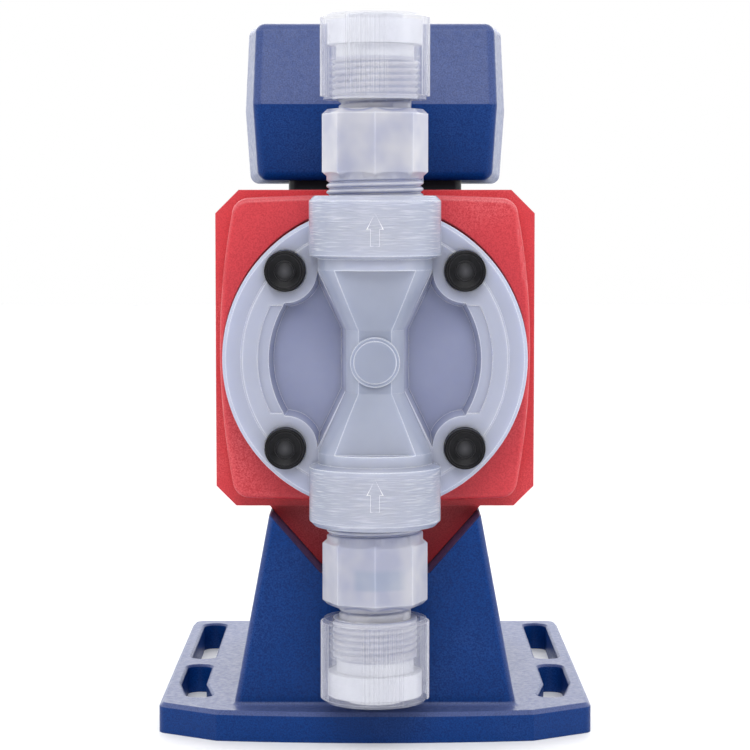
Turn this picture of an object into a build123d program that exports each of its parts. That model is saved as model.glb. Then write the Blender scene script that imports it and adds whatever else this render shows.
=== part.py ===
from build123d import *
import math
import os

os.makedirs("parts", exist_ok=True)

# A solenoid-driven diaphragm dosing pump on a slotted base, with a control box on top.
# Millimetres. X runs to the right as seen from the front, the front faces -Y, Z is up and z = 0 is
# the surface that the base stands on. A "depth" is a distance behind the pump head's front face.

# Clearances
seat_gap = 0.1  # between two curved pieces of the same body
free_gap = 0.35  # round a piece that moves without being guided
running_gap = 0.04  # round a shaft in its bush
stop_gap = 0.3  # left at the end of a travel

# Pump axis and overall places
axis_z = 113.0
base_front = 0.3
base_rear = 162.7

# Pump head
head_r = 44.5
head_t = 16.0
head_land_r = 38.6
head_land_step = 0.5
head_edge = 1.0
pocket_r = 31.0
pocket_depth = 7.0
pocket_draft = 10.0
shelf_r = 34.2
shelf_half_height = 15.7
shelf_depth = 0.6
boss_r = 9.3
chamber_r = 23.0
chamber_depth = 3.4
passage_r = 2.6
passage_height = 12.0

# Port collars and hourglass body, turned about the upright port axis ahead of the head's face
port_ahead = 6.0
collar_r = 19.0
collar_end = 47.5
collar_foot = 30.5
collar_edge = 1.5
groove_r = 16.4
cone_top = 26.3
waist_r = 8.6
waist_half = 9.0
facet_top = 11.6
facet_waist = 7.2
button_r = 6.1
button_ring_r = 7.1
button_ahead = 1.6
button_rim = 0.4

# Head bolts, washers and caps
bolt_spacing_x = 52.2
bolt_spacing_z = 51.5
bolt_r = 2.5
bolt_head_r = 4.25
bolt_head_h = 5.0
bolt_key = 4.0
washer_r = 5.6
washer_t = 1.0
counterbore_r = 6.1
counterbore_depth = 3.0
cap_r = 5.95
cap_ahead = 4.2
cap_dish_r = 4.7
cap_dish = 0.9

# Valve bodies: threaded neck into the head, octagon, threaded neck into the union nut
discharge_exposed = 5.4
suction_exposed = 3.9
neck_r = 13.9
neck_in_head = 14.0
octagon_flats = 28.1
octagon_h = 19.3
octagon_edge = 1.4
nut_thread_r = 12.2
relief_r = 10.4
discharge_nut_gap = 2.7
suction_nut_gap = 3.8
thread_in_nut = 11.0
outlet_r = 6.0

# Valve cartridges
cartridge_r = 8.0
cartridge_wall_end = 3.2
ball_r = 4.76
seat_bore_r = 3.2
seat_h = 4.0
ball_lift = 1.5
ball_seat_gap = 0.15
cage_roof = 3.0
cage_vent_r = 1.4

# Union nuts, tube nozzles and clamp rings
nut_r = 15.75
nut_h = 24.3
nut_rib = 0.45
nut_rib_w = 0.62
nut_ribs = 10
nut_patch_angle = 43.2
nut_shoulder = 1.0
nut_lip = 1.8
gasket_t = 1.0
flange_t = 3.5
flange_r = 11.2
barb_r = 4.7
barb_tip_r = 4.2
nozzle_bore_r = 3.2
spigot_h = 4.0
clamp_r = 13.6
clamp_nose_r = 8.0
clamp_mouth_h = 4.0
tube_r = 6.25

# Diaphragm and its insert
diaphragm_r = 32.0
diaphragm_t = 3.0
web_t = 1.2
disc_r = 11.0
disc_ahead = 1.4
disc_t = 3.4
insert_r = 10.0
insert_t = 2.4

# Front bracket
plate_w = 95.3
plate_top = 162.3
plate_foot = 67.6
plate_front = 22.0
plate_t = 8.0
plate_corner_top = 7.0
plate_corner_foot = 6.0
lug_front = 14.0
lug_half_corner = 41.5
lug_half_side = 46.0
lug_top = 159.6
lug_foot = 71.0
lug_bulge = 1.2
lug_corner_r = 5.0
lug_edge = 1.6
tongue_half_top = 32.4
tongue_half_foot = 16.0
tongue_foot = 49.0
tongue_t = 3.0
tongue_corner = 2.5
bracket_screw_r = 2.0
bracket_screw_at = 40.4
bracket_screw_head_r = 3.5
bracket_screw_head_h = 3.0

# Solenoid
stroke = 1.5
yoke_r = 36.0
yoke_wall = 4.0
yoke_front_t = 11.8
yoke_room = 16.0
yoke_cover_t = 6.0
pole_r = 14.0
pole_len = 16.0
armature_r = 14.6
armature_room = 5.4
bobbin_bore_r = 15.0
bobbin_wall = 1.2
bobbin_flange = 1.5
coil_depth = 13.6
shaft_r = 4.0
bush_wall = 2.0
spring_pocket_r = 9.3
pole_pocket = 8.0
armature_pocket = 4.0
spring_r = 7.2
spring_wire = 1.4
spring_turns = 3.5

# Drive housing, its rear cover, stroke spindle and knob
housing_half = 44.0
housing_top = 160.0
housing_shoulder = 76.0
housing_corner = 8.0
housing_len = 76.0
housing_ribs = 6
housing_rib_pitch = 10.0
housing_groove = 1.6
cover_gasket_t = 1.0
cover_t = 18.0
cover_edge = 2.5
cover_screw_r = 2.0
cover_screw_inset = 6.5
spindle_r = 5.0
spindle_end = 16.0
knob_r = 16.0
knob_skirt_r = 19.5
knob_skirt_h = 4.0
knob_h = 20.0
knob_flutes = 12
knob_flute_r = 3.0

# Base
base_half = 64.8
base_flange_t = 9.0
base_corner_w = 17.9
base_nose_bow = 3.3
base_corner_depth = 15.5
base_corner_r = 4.0
base_edge = 1.2
pedestal_front = 10.6
pedestal_rear = 126.0
base_ledge = 22.8
pedestal_half_top = 31.5
pedestal_top = 65.7
pedestal_edge = 2.4
pedestal_foot_r = 1.4
notch_gap = 0.15
base_wall = 4.0
base_cells = 3
slot_w = 7.8
slot_inset = 8.3
rear_slot_start = 87.7
rear_slot_end = 155.8
front_slot_start = 24.0
front_slot_knee = 46.7
front_slot_end = 77.3
front_slot_shift = 3.1
slot_edge = 0.7
base_screw_r = 2.5
base_screw_head_r = 4.4
base_screw_head_h = 3.6
base_screw_grip = 12.0
base_screw_front = 37.0
base_screw_pitch = 62.0

# Neck adapter between drive housing and control box
adapter_half = 26.7
adapter_front = 48.0
adapter_ahead_of_parting = 1.5
adapter_lip = 0.8
adapter_lip_h = 1.6
adapter_into_case = 1.5

# Control box: half-width on the crease, top and foot of its outline at the front, parting line and rear
case_front = 40.0
case_parting = 103.5
case_rear_depth = 36.5
case_rear = case_parting + case_rear_depth
case_crease_z = 188.4
case_front_sizes = (37.1, 212.9, 165.4)
case_parting_sizes = (42.6, 215.6, 164.6)
case_rear_sizes = (39.4, 214.2, 165.8)
case_flank_top = 0.05
case_flank_foot = 0.07
case_corner = 3.0
case_wall = 2.5
facet_lean_top = 6.1
facet_lean_foot = 2.4
panel_foot_z = 181.0
panel_lean = 14.0
case_gasket_t = 0.8
post_r = 4.6
post_x = 33.5
post_low_z = 171.5
post_high_z = 207.6
post_reach = 16.0
post_rib = 2.4
case_screw_r = 1.5
case_screw_head_r = 2.8
case_screw_head_h = 2.4
case_screw_floor = 14.0

# Operator panel, in its own leaning plane
overlay_w = 58.0
overlay_h = 30.0
overlay_t = 0.6
window_w = 30.0
window_h = 15.0
window_x = -12.5
window_y = 4.5
window_rim = 1.0
key_size = 8.0
key_pitch = 12.5
key_x = 17.5
key_travel = 0.6
key_ahead = 1.5
key_flange = 0.8
key_stem_r = 1.5
key_flange_t = 0.9
switch_size = 6.0
switch_h = 1.5
board_behind = 10.5
board_t = 1.6
board_w = 57.0
board_h = 27.0
board_post_r = 1.3
board_post_x = 26.8
board_post_y = 11.2
board_post_inner_x = 5.0
lamp_r = 1.6
lamp_pitch = 10.0
lamp_y = -9.5
lamps = 3
lamp_ahead = 1.0

# Cable gland and signal sockets on the rear wall under the panel
socket_rise = 7.5
gland_x = -22.0
gland_r = 6.2
gland_bore_r = 3.4
gland_body_h = 5.0
gland_nut_h = 8.0
gland_nut_flats = 12.6
gland_thread_r = 4.7
socket_x = 6.0
socket_pitch = 16.0
socket_r = 5.8
socket_recess_r = 4.4
socket_inner = 3.0
socket_h = 6.0
socket_cap_h = 5.0
socket_cap_wall = 0.9

# Places that follow from the sizes above
base_nose_half = base_half - base_corner_w
pedestal_half_foot = base_half - base_ledge
slot_x = base_half - slot_inset
reach_ahead = port_ahead + collar_r
head_front_y = (reach_ahead - base_rear) / 2
port_y = head_front_y - port_ahead
plate_rear = plate_front + plate_t
housing_rear = plate_rear + housing_len
cover_front = housing_rear + cover_gasket_t
cover_rear = cover_front + cover_t
pole_rear = plate_rear + yoke_front_t + pole_len
yoke_rear = housing_rear - yoke_room
armature_front = pole_rear + stroke + stop_gap
armature_rear = housing_rear - armature_room
spindle_tip = armature_rear + stroke + stop_gap
insert_front = head_t - disc_ahead + disc_t + seat_gap
shaft_front = insert_front + insert_t
spindle_rear = cover_rear + stroke + stop_gap + spindle_end
pump_axis = Axis((0, head_front_y, axis_z), (0, 1, 0))
port_axis = Axis((0, port_y, axis_z), (0, 0, 1))
socket_z = case_rear_sizes[2] + socket_rise
case_reach = case_parting_sizes[0] + case_front_sizes[1] - case_front_sizes[2]
panel_height = case_rear_sizes[1] - panel_foot_z
panel_angle = math.degrees(math.atan2(panel_lean, panel_height))


def facing_front(depth, z=0.0, x=0.0):
    """Upright plane at a depth, seen from the front: sketches on it use X and height."""
    return Plane(origin=(x, head_front_y + depth, z), x_dir=(1, 0, 0), z_dir=(0, -1, 0))


def side_view(x=0.0):
    """Plane seen from the right-hand side: sketches on it use depth and height."""
    return Plane(origin=(x, head_front_y, 0), x_dir=(0, 1, 0), z_dir=(1, 0, 0))


def port_plane(way, height):
    """Level plane across the port axis, a height above (way = 1) or below (way = -1) the pump axis."""
    return Plane(origin=(0, port_y, axis_z + way * height), x_dir=(1, 0, 0), z_dir=(0, 0, way))


def axial_outline(*points):
    """Closed outline of (radius, depth) points, to be turned about the pump axis."""
    with BuildSketch(Plane(origin=(0, head_front_y, axis_z), x_dir=(1, 0, 0), z_dir=(0, 0, 1))) as outline:
        with BuildLine():
            Polyline(*points, close=True)
        make_face()
    return outline.sketch


def port_outline(way, *points):
    """Closed outline of (radius, height) points, to be turned about the port axis."""
    with BuildSketch(Plane(origin=(0, port_y, axis_z), x_dir=(1, 0, 0), z_dir=(0, -way, 0))) as outline:
        with BuildLine():
            Polyline(*points, close=True)
        make_face()
    return outline.sketch


def level_outline(*points):
    """Closed outline of (radius, z) points in real heights, to be turned about the port axis."""
    with BuildSketch(Plane(origin=(0, port_y, 0), x_dir=(1, 0, 0), z_dir=(0, -1, 0))) as outline:
        with BuildLine():
            Polyline(*points, close=True)
        make_face()
    return outline.sketch


def write(piece, name):
    """Label a finished piece and write it as its own STEP file."""
    piece.part.label = name
    export_step(piece.part, f"parts/{name}.step")


# Pump head: a flanged disc whose pockets, bolt bosses and hourglass port body are one casting
with BuildPart() as pump_head:
    revolve(
        axial_outline(
            (0, 0),
            (head_land_r, 0),
            (head_land_r + head_land_step, head_land_step),
            (head_r - head_edge, head_land_step),
            (head_r, head_land_step + head_edge),
            (head_r, head_t),
            (0, head_t),
        ),
        axis=pump_axis,
    )
    with BuildSketch(facing_front(0, axis_z)) as shelves:
        Circle(shelf_r)
        Circle(pocket_r, mode=Mode.SUBTRACT)
        Rectangle(2 * shelf_r, 2 * shelf_half_height, mode=Mode.INTERSECT)
    extrude(amount=-shelf_depth, mode=Mode.SUBTRACT)
    with BuildSketch(facing_front(0, axis_z)) as pockets:
        Circle(pocket_r)
        with GridLocations(bolt_spacing_x, bolt_spacing_z, 2, 2):
            Circle(boss_r, mode=Mode.SUBTRACT)
        Rectangle(2 * waist_r, 2 * pocket_r, mode=Mode.SUBTRACT)
        with BuildLine():
            Polyline(
                (waist_r, waist_half),
                (collar_r, collar_foot),
                (-collar_r, collar_foot),
                (-waist_r, waist_half),
                close=True,
            )
        make_face(mode=Mode.SUBTRACT)
        with BuildLine():
            Polyline(
                (waist_r, -waist_half),
                (collar_r, -collar_foot),
                (-collar_r, -collar_foot),
                (-waist_r, -waist_half),
                close=True,
            )
        make_face(mode=Mode.SUBTRACT)
    extrude(amount=-pocket_depth, taper=pocket_draft, mode=Mode.SUBTRACT)
    revolve(
        port_outline(
            1,
            (0, collar_end),
            (collar_r - collar_edge, collar_end),
            (collar_r, collar_end - collar_edge),
            (collar_r, collar_foot),
            (groove_r, collar_foot - head_edge),
            (groove_r, cone_top),
            (waist_r, waist_half),
            (waist_r, -waist_half),
            (groove_r, -cone_top),
            (groove_r, head_edge - collar_foot),
            (collar_r, -collar_foot),
            (collar_r, collar_edge - collar_end),
            (collar_r - collar_edge, -collar_end),
            (0, -collar_end),
        ),
        axis=port_axis,
    )
    with BuildSketch(side_view()) as facets:
        with BuildLine():
            Polyline(
                (-reach_ahead, axis_z + cone_top),
                (-port_ahead - facet_top, axis_z + cone_top),
                (-port_ahead - facet_waist, axis_z + waist_half),
                (-port_ahead - facet_waist, axis_z - waist_half),
                (-port_ahead - facet_top, axis_z - cone_top),
                (-reach_ahead, axis_z - cone_top),
                close=True,
            )
        make_face()
    extrude(amount=collar_r, both=True, mode=Mode.SUBTRACT)
    revolve(
        axial_outline(
            (0, -port_ahead),
            (0, -port_ahead - facet_waist - button_ahead),
            (button_r, -port_ahead - facet_waist - button_ahead),
            (button_r, -port_ahead - facet_waist - button_ahead + button_rim),
            (button_ring_r, -port_ahead - facet_waist - button_ahead + button_rim),
            (button_ring_r, -port_ahead),
        ),
        axis=pump_axis,
    )
    revolve(
        axial_outline(
            (0, head_t),
            (chamber_r, head_t),
            (chamber_r - chamber_depth, head_t - chamber_depth),
            (0, head_t - chamber_depth),
        ),
        axis=pump_axis,
        mode=Mode.SUBTRACT,
    )
    for way in (1, -1):
        with BuildSketch(port_plane(way, collar_end)):
            Circle(neck_r + seat_gap)
        extrude(amount=-neck_in_head, mode=Mode.SUBTRACT)
        with BuildSketch(port_plane(way, collar_end - neck_in_head)):
            Circle(passage_r)
        extrude(amount=passage_height - passage_r - collar_end + neck_in_head, mode=Mode.SUBTRACT)
        with BuildSketch(facing_front(head_t - chamber_depth, axis_z + way * passage_height)):
            Circle(passage_r)
        extrude(amount=head_t - chamber_depth + port_ahead, mode=Mode.SUBTRACT)
    with BuildSketch(facing_front(0, axis_z)):
        with GridLocations(bolt_spacing_x, bolt_spacing_z, 2, 2):
            Circle(counterbore_r)
    extrude(amount=-counterbore_depth, mode=Mode.SUBTRACT)
    with BuildSketch(facing_front(0, axis_z)):
        with GridLocations(bolt_spacing_x, bolt_spacing_z, 2, 2):
            Circle(bolt_r + seat_gap)
    extrude(amount=-head_t, mode=Mode.SUBTRACT)
write(pump_head, "pump_head")

# Head bolts: socket screws seated on washers in the counterbores, screwed into the bracket
bolt_seat = counterbore_depth - washer_t
bolt_len = head_t - bolt_seat + plate_front - lug_front + plate_t / 2
with BuildPart() as head_bolts:
    with BuildSketch(facing_front(bolt_seat, axis_z)):
        with GridLocations(bolt_spacing_x, bolt_spacing_z, 2, 2):
            Circle(bolt_head_r)
    extrude(amount=bolt_head_h)
    with BuildSketch(facing_front(bolt_seat, axis_z)):
        with GridLocations(bolt_spacing_x, bolt_spacing_z, 2, 2):
            Circle(bolt_r)
    extrude(amount=-bolt_len)
    with BuildSketch(facing_front(bolt_seat - bolt_head_h, axis_z)):
        with GridLocations(bolt_spacing_x, bolt_spacing_z, 2, 2):
            RegularPolygon(bolt_key / 2, 6, major_radius=False)
    extrude(amount=-bolt_head_h / 2, mode=Mode.SUBTRACT)
write(head_bolts, "head_bolts")

with BuildPart() as head_washers:
    with BuildSketch(facing_front(counterbore_depth, axis_z)):
        with GridLocations(bolt_spacing_x, bolt_spacing_z, 2, 2):
            Circle(washer_r)
            Circle(bolt_r + seat_gap, mode=Mode.SUBTRACT)
    extrude(amount=washer_t)
write(head_washers, "head_washers")

# Bolt caps: pushed over the screw heads, with a dished front
with BuildPart() as bolt_caps:
    with BuildSketch(facing_front(bolt_seat - seat_gap, axis_z)):
        with GridLocations(bolt_spacing_x, bolt_spacing_z, 2, 2):
            Circle(cap_r)
    extrude(amount=cap_ahead + bolt_seat - seat_gap)
    chamfer(bolt_caps.faces().group_by(Axis.Y)[0].edges(), length=cap_dish / 2)
    with BuildSketch(facing_front(-cap_ahead, axis_z)):
        with GridLocations(bolt_spacing_x, bolt_spacing_z, 2, 2):
            Circle(cap_dish_r)
    extrude(amount=-cap_dish / 2, mode=Mode.SUBTRACT)
    with BuildSketch(facing_front(bolt_seat - seat_gap, axis_z)):
        with GridLocations(bolt_spacing_x, bolt_spacing_z, 2, 2):
            Circle(bolt_head_r + seat_gap)
    extrude(amount=bolt_head_h, mode=Mode.SUBTRACT)
write(bolt_caps, "bolt_caps")


# Valve stacks. The discharge valve stands on the head (way 1), the suction valve hangs under it (way -1).
def octagon_start(exposed):
    """Height from the pump axis to the near end of a valve's octagon."""
    return collar_end + exposed


def neck_end(exposed, nut_gap):
    """Height from the pump axis to the far end of a valve body's outer neck."""
    return octagon_start(exposed) + octagon_h + nut_gap + thread_in_nut


def cartridge_levels(way, exposed):
    """Lowest and highest z of the cartridge bore in a valve body."""
    inner = axis_z + way * (collar_end - neck_in_head)
    outer = axis_z + way * (octagon_start(exposed) + octagon_h - cartridge_wall_end)
    return min(inner, outer), max(inner, outer)


def seat_level(way, exposed):
    """Height of a seat's upper face, on which its ball rests."""
    low, high = cartridge_levels(way, exposed)
    if way > 0:
        return high - cage_roof - stop_gap - ball_lift - 2 * ball_r
    return low + seat_h


def ball_centre_level(way, exposed):
    """Height of a ball's centre when it rests over the edge of its seat."""
    edge_drop = math.sqrt(ball_r**2 - seat_bore_r**2)
    return seat_level(way, exposed) + edge_drop + ball_seat_gap


def make_valve_body(way, exposed, nut_gap):
    """Octagonal body with a threaded neck at each end and a bore for the ball cartridge."""
    start = octagon_start(exposed)
    end = start + octagon_h
    tip = neck_end(exposed, nut_gap)
    low, high = cartridge_levels(way, exposed)
    with BuildPart() as body:
        with BuildSketch(port_plane(way, start)):
            RegularPolygon(octagon_flats / 2, 8, major_radius=False)
        extrude(amount=octagon_h)
        chamfer(body.faces().sort_by(Axis.Z)[0].edges(), length=octagon_edge)
        chamfer(body.faces().sort_by(Axis.Z)[-1].edges(), length=octagon_edge)
        with BuildSketch(port_plane(way, collar_end - neck_in_head)):
            Circle(neck_r)
        extrude(amount=start - collar_end + neck_in_head + octagon_edge)
        with BuildSketch(port_plane(way, tip)):
            Circle(nut_thread_r)
        extrude(amount=-thread_in_nut)
        with BuildSketch(port_plane(way, tip)):
            Circle(relief_r)
        extrude(amount=end - tip - octagon_edge)
        with BuildSketch(port_plane(way, tip)):
            Circle(outlet_r)
        extrude(amount=collar_end - tip, mode=Mode.SUBTRACT)
        with BuildSketch(Plane.XY.offset(low)):
            with Locations((0, port_y)):
                Circle(cartridge_r + seat_gap)
        extrude(amount=high - low, mode=Mode.SUBTRACT)
    return body


def make_ball_seat(way, exposed):
    """Seat bush under the ball, reaching down to the lower end of the cartridge bore."""
    low, high = cartridge_levels(way, exposed)
    top = seat_level(way, exposed)
    with BuildPart() as seat:
        revolve(
            level_outline(
                (seat_bore_r, low),
                (cartridge_r, low),
                (cartridge_r, top),
                (seat_bore_r, top),
            ),
            axis=port_axis,
        )
    return seat


def make_ball_guide(way, exposed):
    """Cage over the ball: a sleeve with a vented roof that stops the ball's lift."""
    low, high = cartridge_levels(way, exposed)
    floor = seat_level(way, exposed)
    roof = ball_centre_level(way, exposed) + ball_r + ball_lift + stop_gap
    cage_r = ball_r + free_gap
    with BuildPart() as guide:
        revolve(
            level_outline(
                (cage_r, floor),
                (cartridge_r, floor),
                (cartridge_r, high),
                (outlet_r, high),
                (outlet_r, min(roof + cage_roof, high)),
                (0, min(roof + cage_roof, high)),
                (0, roof),
                (cage_r, roof),
            ),
            axis=port_axis,
        )
        with BuildSketch(Plane.XY.offset(high)):
            with Locations((0, port_y)):
                with PolarLocations(cage_r - cage_vent_r - free_gap, 4):
                    Circle(cage_vent_r)
        extrude(amount=roof - high, mode=Mode.SUBTRACT)
    return guide


def make_ball(way, exposed):
    """Valve ball, resting just over its seat."""
    with BuildPart() as ball:
        with Locations((0, port_y, ball_centre_level(way, exposed))):
            Sphere(ball_r)
    return ball


def make_gasket(way, exposed, nut_gap):
    """Flat ring between a valve body's neck and the tube nozzle."""
    start = neck_end(exposed, nut_gap)
    with BuildPart() as gasket:
        with BuildSketch(port_plane(way, start)):
            Circle(flange_r)
            Circle(outlet_r + seat_gap, mode=Mode.SUBTRACT)
        extrude(amount=gasket_t)
    return gasket


def make_nozzle(way, exposed, nut_gap):
    """Tube nozzle: flange, spigot into the neck and a tapered tip for the tube."""
    start = neck_end(exposed, nut_gap) + gasket_t
    nut_end = octagon_start(exposed) + octagon_h + nut_gap + nut_h
    tip = nut_end - clamp_mouth_h - free_gap
    with BuildPart() as nozzle:
        revolve(
            port_outline(
                way,
                (nozzle_bore_r, start - gasket_t - spigot_h),
                (outlet_r - seat_gap, start - gasket_t - spigot_h),
                (outlet_r - seat_gap, start),
                (flange_r, start),
                (flange_r, start + flange_t),
                (barb_r, start + flange_t),
                (barb_r, (start + flange_t + tip) / 2),
                (barb_tip_r, tip),
                (nozzle_bore_r, tip),
            ),
            axis=port_axis,
        )
    return nozzle


def make_clamp_ring(way, exposed, nut_gap):
    """Clamp ring round the tube: a shoulder under the nut's lip and a nose through it."""
    nut_end = octagon_start(exposed) + octagon_h + nut_gap + nut_h
    start = neck_end(exposed, nut_gap) + gasket_t + flange_t + seat_gap
    shoulder = nut_end - nut_lip - seat_gap
    with BuildPart() as ring:
        revolve(
            port_outline(
                way,
                (tube_r + free_gap, start),
                (clamp_r, start),
                (clamp_r, shoulder),
                (clamp_nose_r, shoulder),
                (clamp_nose_r, nut_end),
                (tube_r, nut_end),
                (tube_r, nut_end - clamp_mouth_h),
                (tube_r + free_gap, nut_end - clamp_mouth_h),
            ),
            axis=port_axis,
        )
    return ring


def make_union_nut(way, exposed, nut_gap):
    """Union nut: a cylinder with four ribbed grip patches, open over the neck and lipped at the tube end."""
    start = octagon_start(exposed) + octagon_h + nut_gap
    clamp_foot = neck_end(exposed, nut_gap) + gasket_t + flange_t
    body_r = nut_r - nut_rib
    bore_r = nut_thread_r + free_gap
    clamp_bore_r = clamp_r + free_gap
    patch_step = nut_patch_angle / (nut_ribs - 1)
    with BuildPart() as nut:
        revolve(
            port_outline(
                way,
                (bore_r, start),
                (body_r - nut_rib, start),
                (body_r - nut_rib, start + nut_shoulder),
                (body_r, start + nut_shoulder),
                (body_r, start + nut_h - nut_shoulder),
                (body_r - nut_shoulder, start + nut_h),
                (clamp_nose_r + free_gap, start + nut_h),
                (clamp_nose_r + free_gap, start + nut_h - nut_lip),
                (clamp_bore_r, start + nut_h - nut_lip),
                (clamp_bore_r, clamp_foot - stop_gap),
                (bore_r, clamp_foot - stop_gap),
            ),
            axis=port_axis,
        )
        with BuildSketch(port_plane(way, start + nut_shoulder)):
            for patch in range(4):
                with PolarLocations(
                    body_r,
                    nut_ribs,
                    start_angle=90 * patch - nut_patch_angle / 2,
                    angular_range=patch_step * nut_ribs,
                ):
                    Rectangle(2 * nut_rib, nut_rib_w)
        extrude(amount=nut_h - 2 * nut_shoulder)
    return nut


for valve, way, exposed, nut_gap in (
    ("discharge", 1, discharge_exposed, discharge_nut_gap),
    ("suction", -1, suction_exposed, suction_nut_gap),
):
    write(make_valve_body(way, exposed, nut_gap), f"{valve}_valve_body")
    write(make_ball_seat(way, exposed), f"{valve}_ball_seat")
    write(make_ball_guide(way, exposed), f"{valve}_ball_guide")
    write(make_ball(way, exposed), f"{valve}_ball")
    write(make_gasket(way, exposed, nut_gap), f"{valve}_gasket")
    write(make_nozzle(way, exposed, nut_gap), f"{valve}_nozzle")
    write(make_clamp_ring(way, exposed, nut_gap), f"{valve}_clamp_ring")
    write(make_union_nut(way, exposed, nut_gap), f"{valve}_union_nut")

# Diaphragm: a rim clamped between head and bracket, a thin curved web and a thick middle disc
disc_front = head_t - disc_ahead
with BuildPart() as diaphragm:
    revolve(
        axial_outline(
            (0, disc_front),
            (disc_r, disc_front),
            (disc_r + web_t, head_t + web_t / 2),
            (chamber_r + web_t, head_t + web_t / 2),
            (chamber_r + 2 * web_t, head_t),
            (diaphragm_r, head_t),
            (diaphragm_r, head_t + diaphragm_t),
            (chamber_r + 2 * web_t, head_t + diaphragm_t),
            (chamber_r + web_t, head_t + 3 * web_t / 2),
            (disc_r + web_t, head_t + 3 * web_t / 2),
            (disc_r, disc_front + disc_t),
            (0, disc_front + disc_t),
        ),
        axis=pump_axis,
    )
write(diaphragm, "diaphragm")

with BuildPart() as diaphragm_insert:
    revolve(
        axial_outline(
            (0, insert_front),
            (insert_r, insert_front),
            (insert_r, insert_front + insert_t),
            (0, insert_front + insert_t),
        ),
        axis=pump_axis,
    )
write(diaphragm_insert, "diaphragm_insert")

# Front bracket: chamfered plate, raised bulging lug round the head's seat, and a V tongue below
recess_floor = head_t
insert_room = shaft_front + stop_gap
bush_r = shaft_r + running_gap + bush_wall
with BuildPart() as front_bracket:
    with BuildSketch(facing_front(plate_rear)) as plate_outline:
        with Locations((0, (plate_top + plate_foot) / 2)):
            Rectangle(plate_w, plate_top - plate_foot)
        chamfer(plate_outline.vertices().group_by(Axis.Y)[-1], length=plate_corner_top)
        chamfer(plate_outline.vertices().group_by(Axis.Y)[0], length=plate_corner_foot)
    extrude(amount=plate_t)
    with BuildSketch(facing_front(plate_front)) as lug_outline:
        with BuildLine():
            ThreePointArc(
                (-lug_half_corner, lug_top),
                (0, lug_top + lug_bulge),
                (lug_half_corner, lug_top),
            )
            ThreePointArc(
                (lug_half_corner, lug_top),
                (lug_half_side, axis_z),
                (lug_half_corner, lug_foot),
            )
            ThreePointArc(
                (lug_half_corner, lug_foot),
                (0, lug_foot - lug_bulge),
                (-lug_half_corner, lug_foot),
            )
            ThreePointArc(
                (-lug_half_corner, lug_foot),
                (-lug_half_side, axis_z),
                (-lug_half_corner, lug_top),
            )
        make_face()
        fillet(lug_outline.vertices(), radius=lug_corner_r)
    extrude(amount=plate_front - lug_front)
    fillet(front_bracket.faces().sort_by(Axis.Y)[0].edges(), radius=lug_edge)
    with BuildSketch(facing_front(plate_rear)) as tongue_outline:
        with BuildLine():
            Polyline(
                (-tongue_half_top, plate_foot + tongue_t),
                (-tongue_half_top, plate_foot),
                (-tongue_half_foot, tongue_foot),
                (tongue_half_foot, tongue_foot),
                (tongue_half_top, plate_foot),
                (tongue_half_top, plate_foot + tongue_t),
                close=True,
            )
        make_face()
        fillet(tongue_outline.vertices().group_by(Axis.Y)[0], radius=tongue_corner)
    extrude(amount=tongue_t)
    revolve(
        axial_outline(
            (0, lug_front),
            (head_r + 2 * free_gap, lug_front),
            (head_r + 2 * free_gap, recess_floor),
            (diaphragm_r + seat_gap, recess_floor),
            (diaphragm_r + seat_gap, recess_floor + diaphragm_t),
            (chamber_r, recess_floor + diaphragm_t),
            (chamber_r, insert_room + stop_gap),
            (bush_r, insert_room + stop_gap),
            (bush_r, plate_rear),
            (0, plate_rear),
        ),
        axis=pump_axis,
        mode=Mode.SUBTRACT,
    )
    with BuildSketch(facing_front(recess_floor, axis_z)):
        with GridLocations(bolt_spacing_x, bolt_spacing_z, 2, 2):
            Circle(bolt_r)
    extrude(amount=recess_floor - plate_rear, mode=Mode.SUBTRACT)
    with BuildSketch(facing_front(recess_floor, axis_z)):
        with PolarLocations(bracket_screw_at, 4):
            Circle(bracket_screw_head_r + seat_gap)
    extrude(amount=-bracket_screw_head_h - seat_gap, mode=Mode.SUBTRACT)
    with BuildSketch(facing_front(recess_floor, axis_z)):
        with PolarLocations(bracket_screw_at, 4):
            Circle(bracket_screw_r + seat_gap)
    extrude(amount=recess_floor - plate_rear, mode=Mode.SUBTRACT)
write(front_bracket, "front_bracket")

bracket_screw_seat = recess_floor + bracket_screw_head_h + seat_gap
bracket_screw_len = plate_rear - bracket_screw_seat + plate_t
with BuildPart() as bracket_screws:
    with BuildSketch(facing_front(bracket_screw_seat, axis_z)):
        with PolarLocations(bracket_screw_at, 4):
            Circle(bracket_screw_head_r)
    extrude(amount=bracket_screw_head_h)
    with BuildSketch(facing_front(bracket_screw_seat, axis_z)):
        with PolarLocations(bracket_screw_at, 4):
            Circle(bracket_screw_r)
    extrude(amount=-bracket_screw_len)
write(bracket_screws, "bracket_screws")

# Solenoid: a steel cup with a pole core, closed by a ring at the rear, round a wound bobbin
spring_front = pole_rear - pole_pocket
with BuildPart() as solenoid_yoke:
    revolve(
        axial_outline(
            (bush_r, plate_rear),
            (yoke_r, plate_rear),
            (yoke_r, yoke_rear),
            (yoke_r - yoke_wall, yoke_rear),
            (yoke_r - yoke_wall, plate_rear + yoke_front_t),
            (pole_r, plate_rear + yoke_front_t),
            (pole_r, pole_rear),
            (spring_pocket_r, pole_rear),
            (spring_pocket_r, spring_front),
            (shaft_r + free_gap, spring_front),
            (shaft_r + free_gap, plate_rear + yoke_front_t),
            (bush_r, plate_rear + yoke_front_t),
        ),
        axis=pump_axis,
    )
write(solenoid_yoke, "solenoid_yoke")

with BuildPart() as yoke_ring:
    revolve(
        axial_outline(
            (bobbin_bore_r, yoke_rear),
            (yoke_r, yoke_rear),
            (yoke_r, yoke_rear + yoke_cover_t),
            (bobbin_bore_r, yoke_rear + yoke_cover_t),
        ),
        axis=pump_axis,
    )
write(yoke_ring, "yoke_ring")

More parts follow.
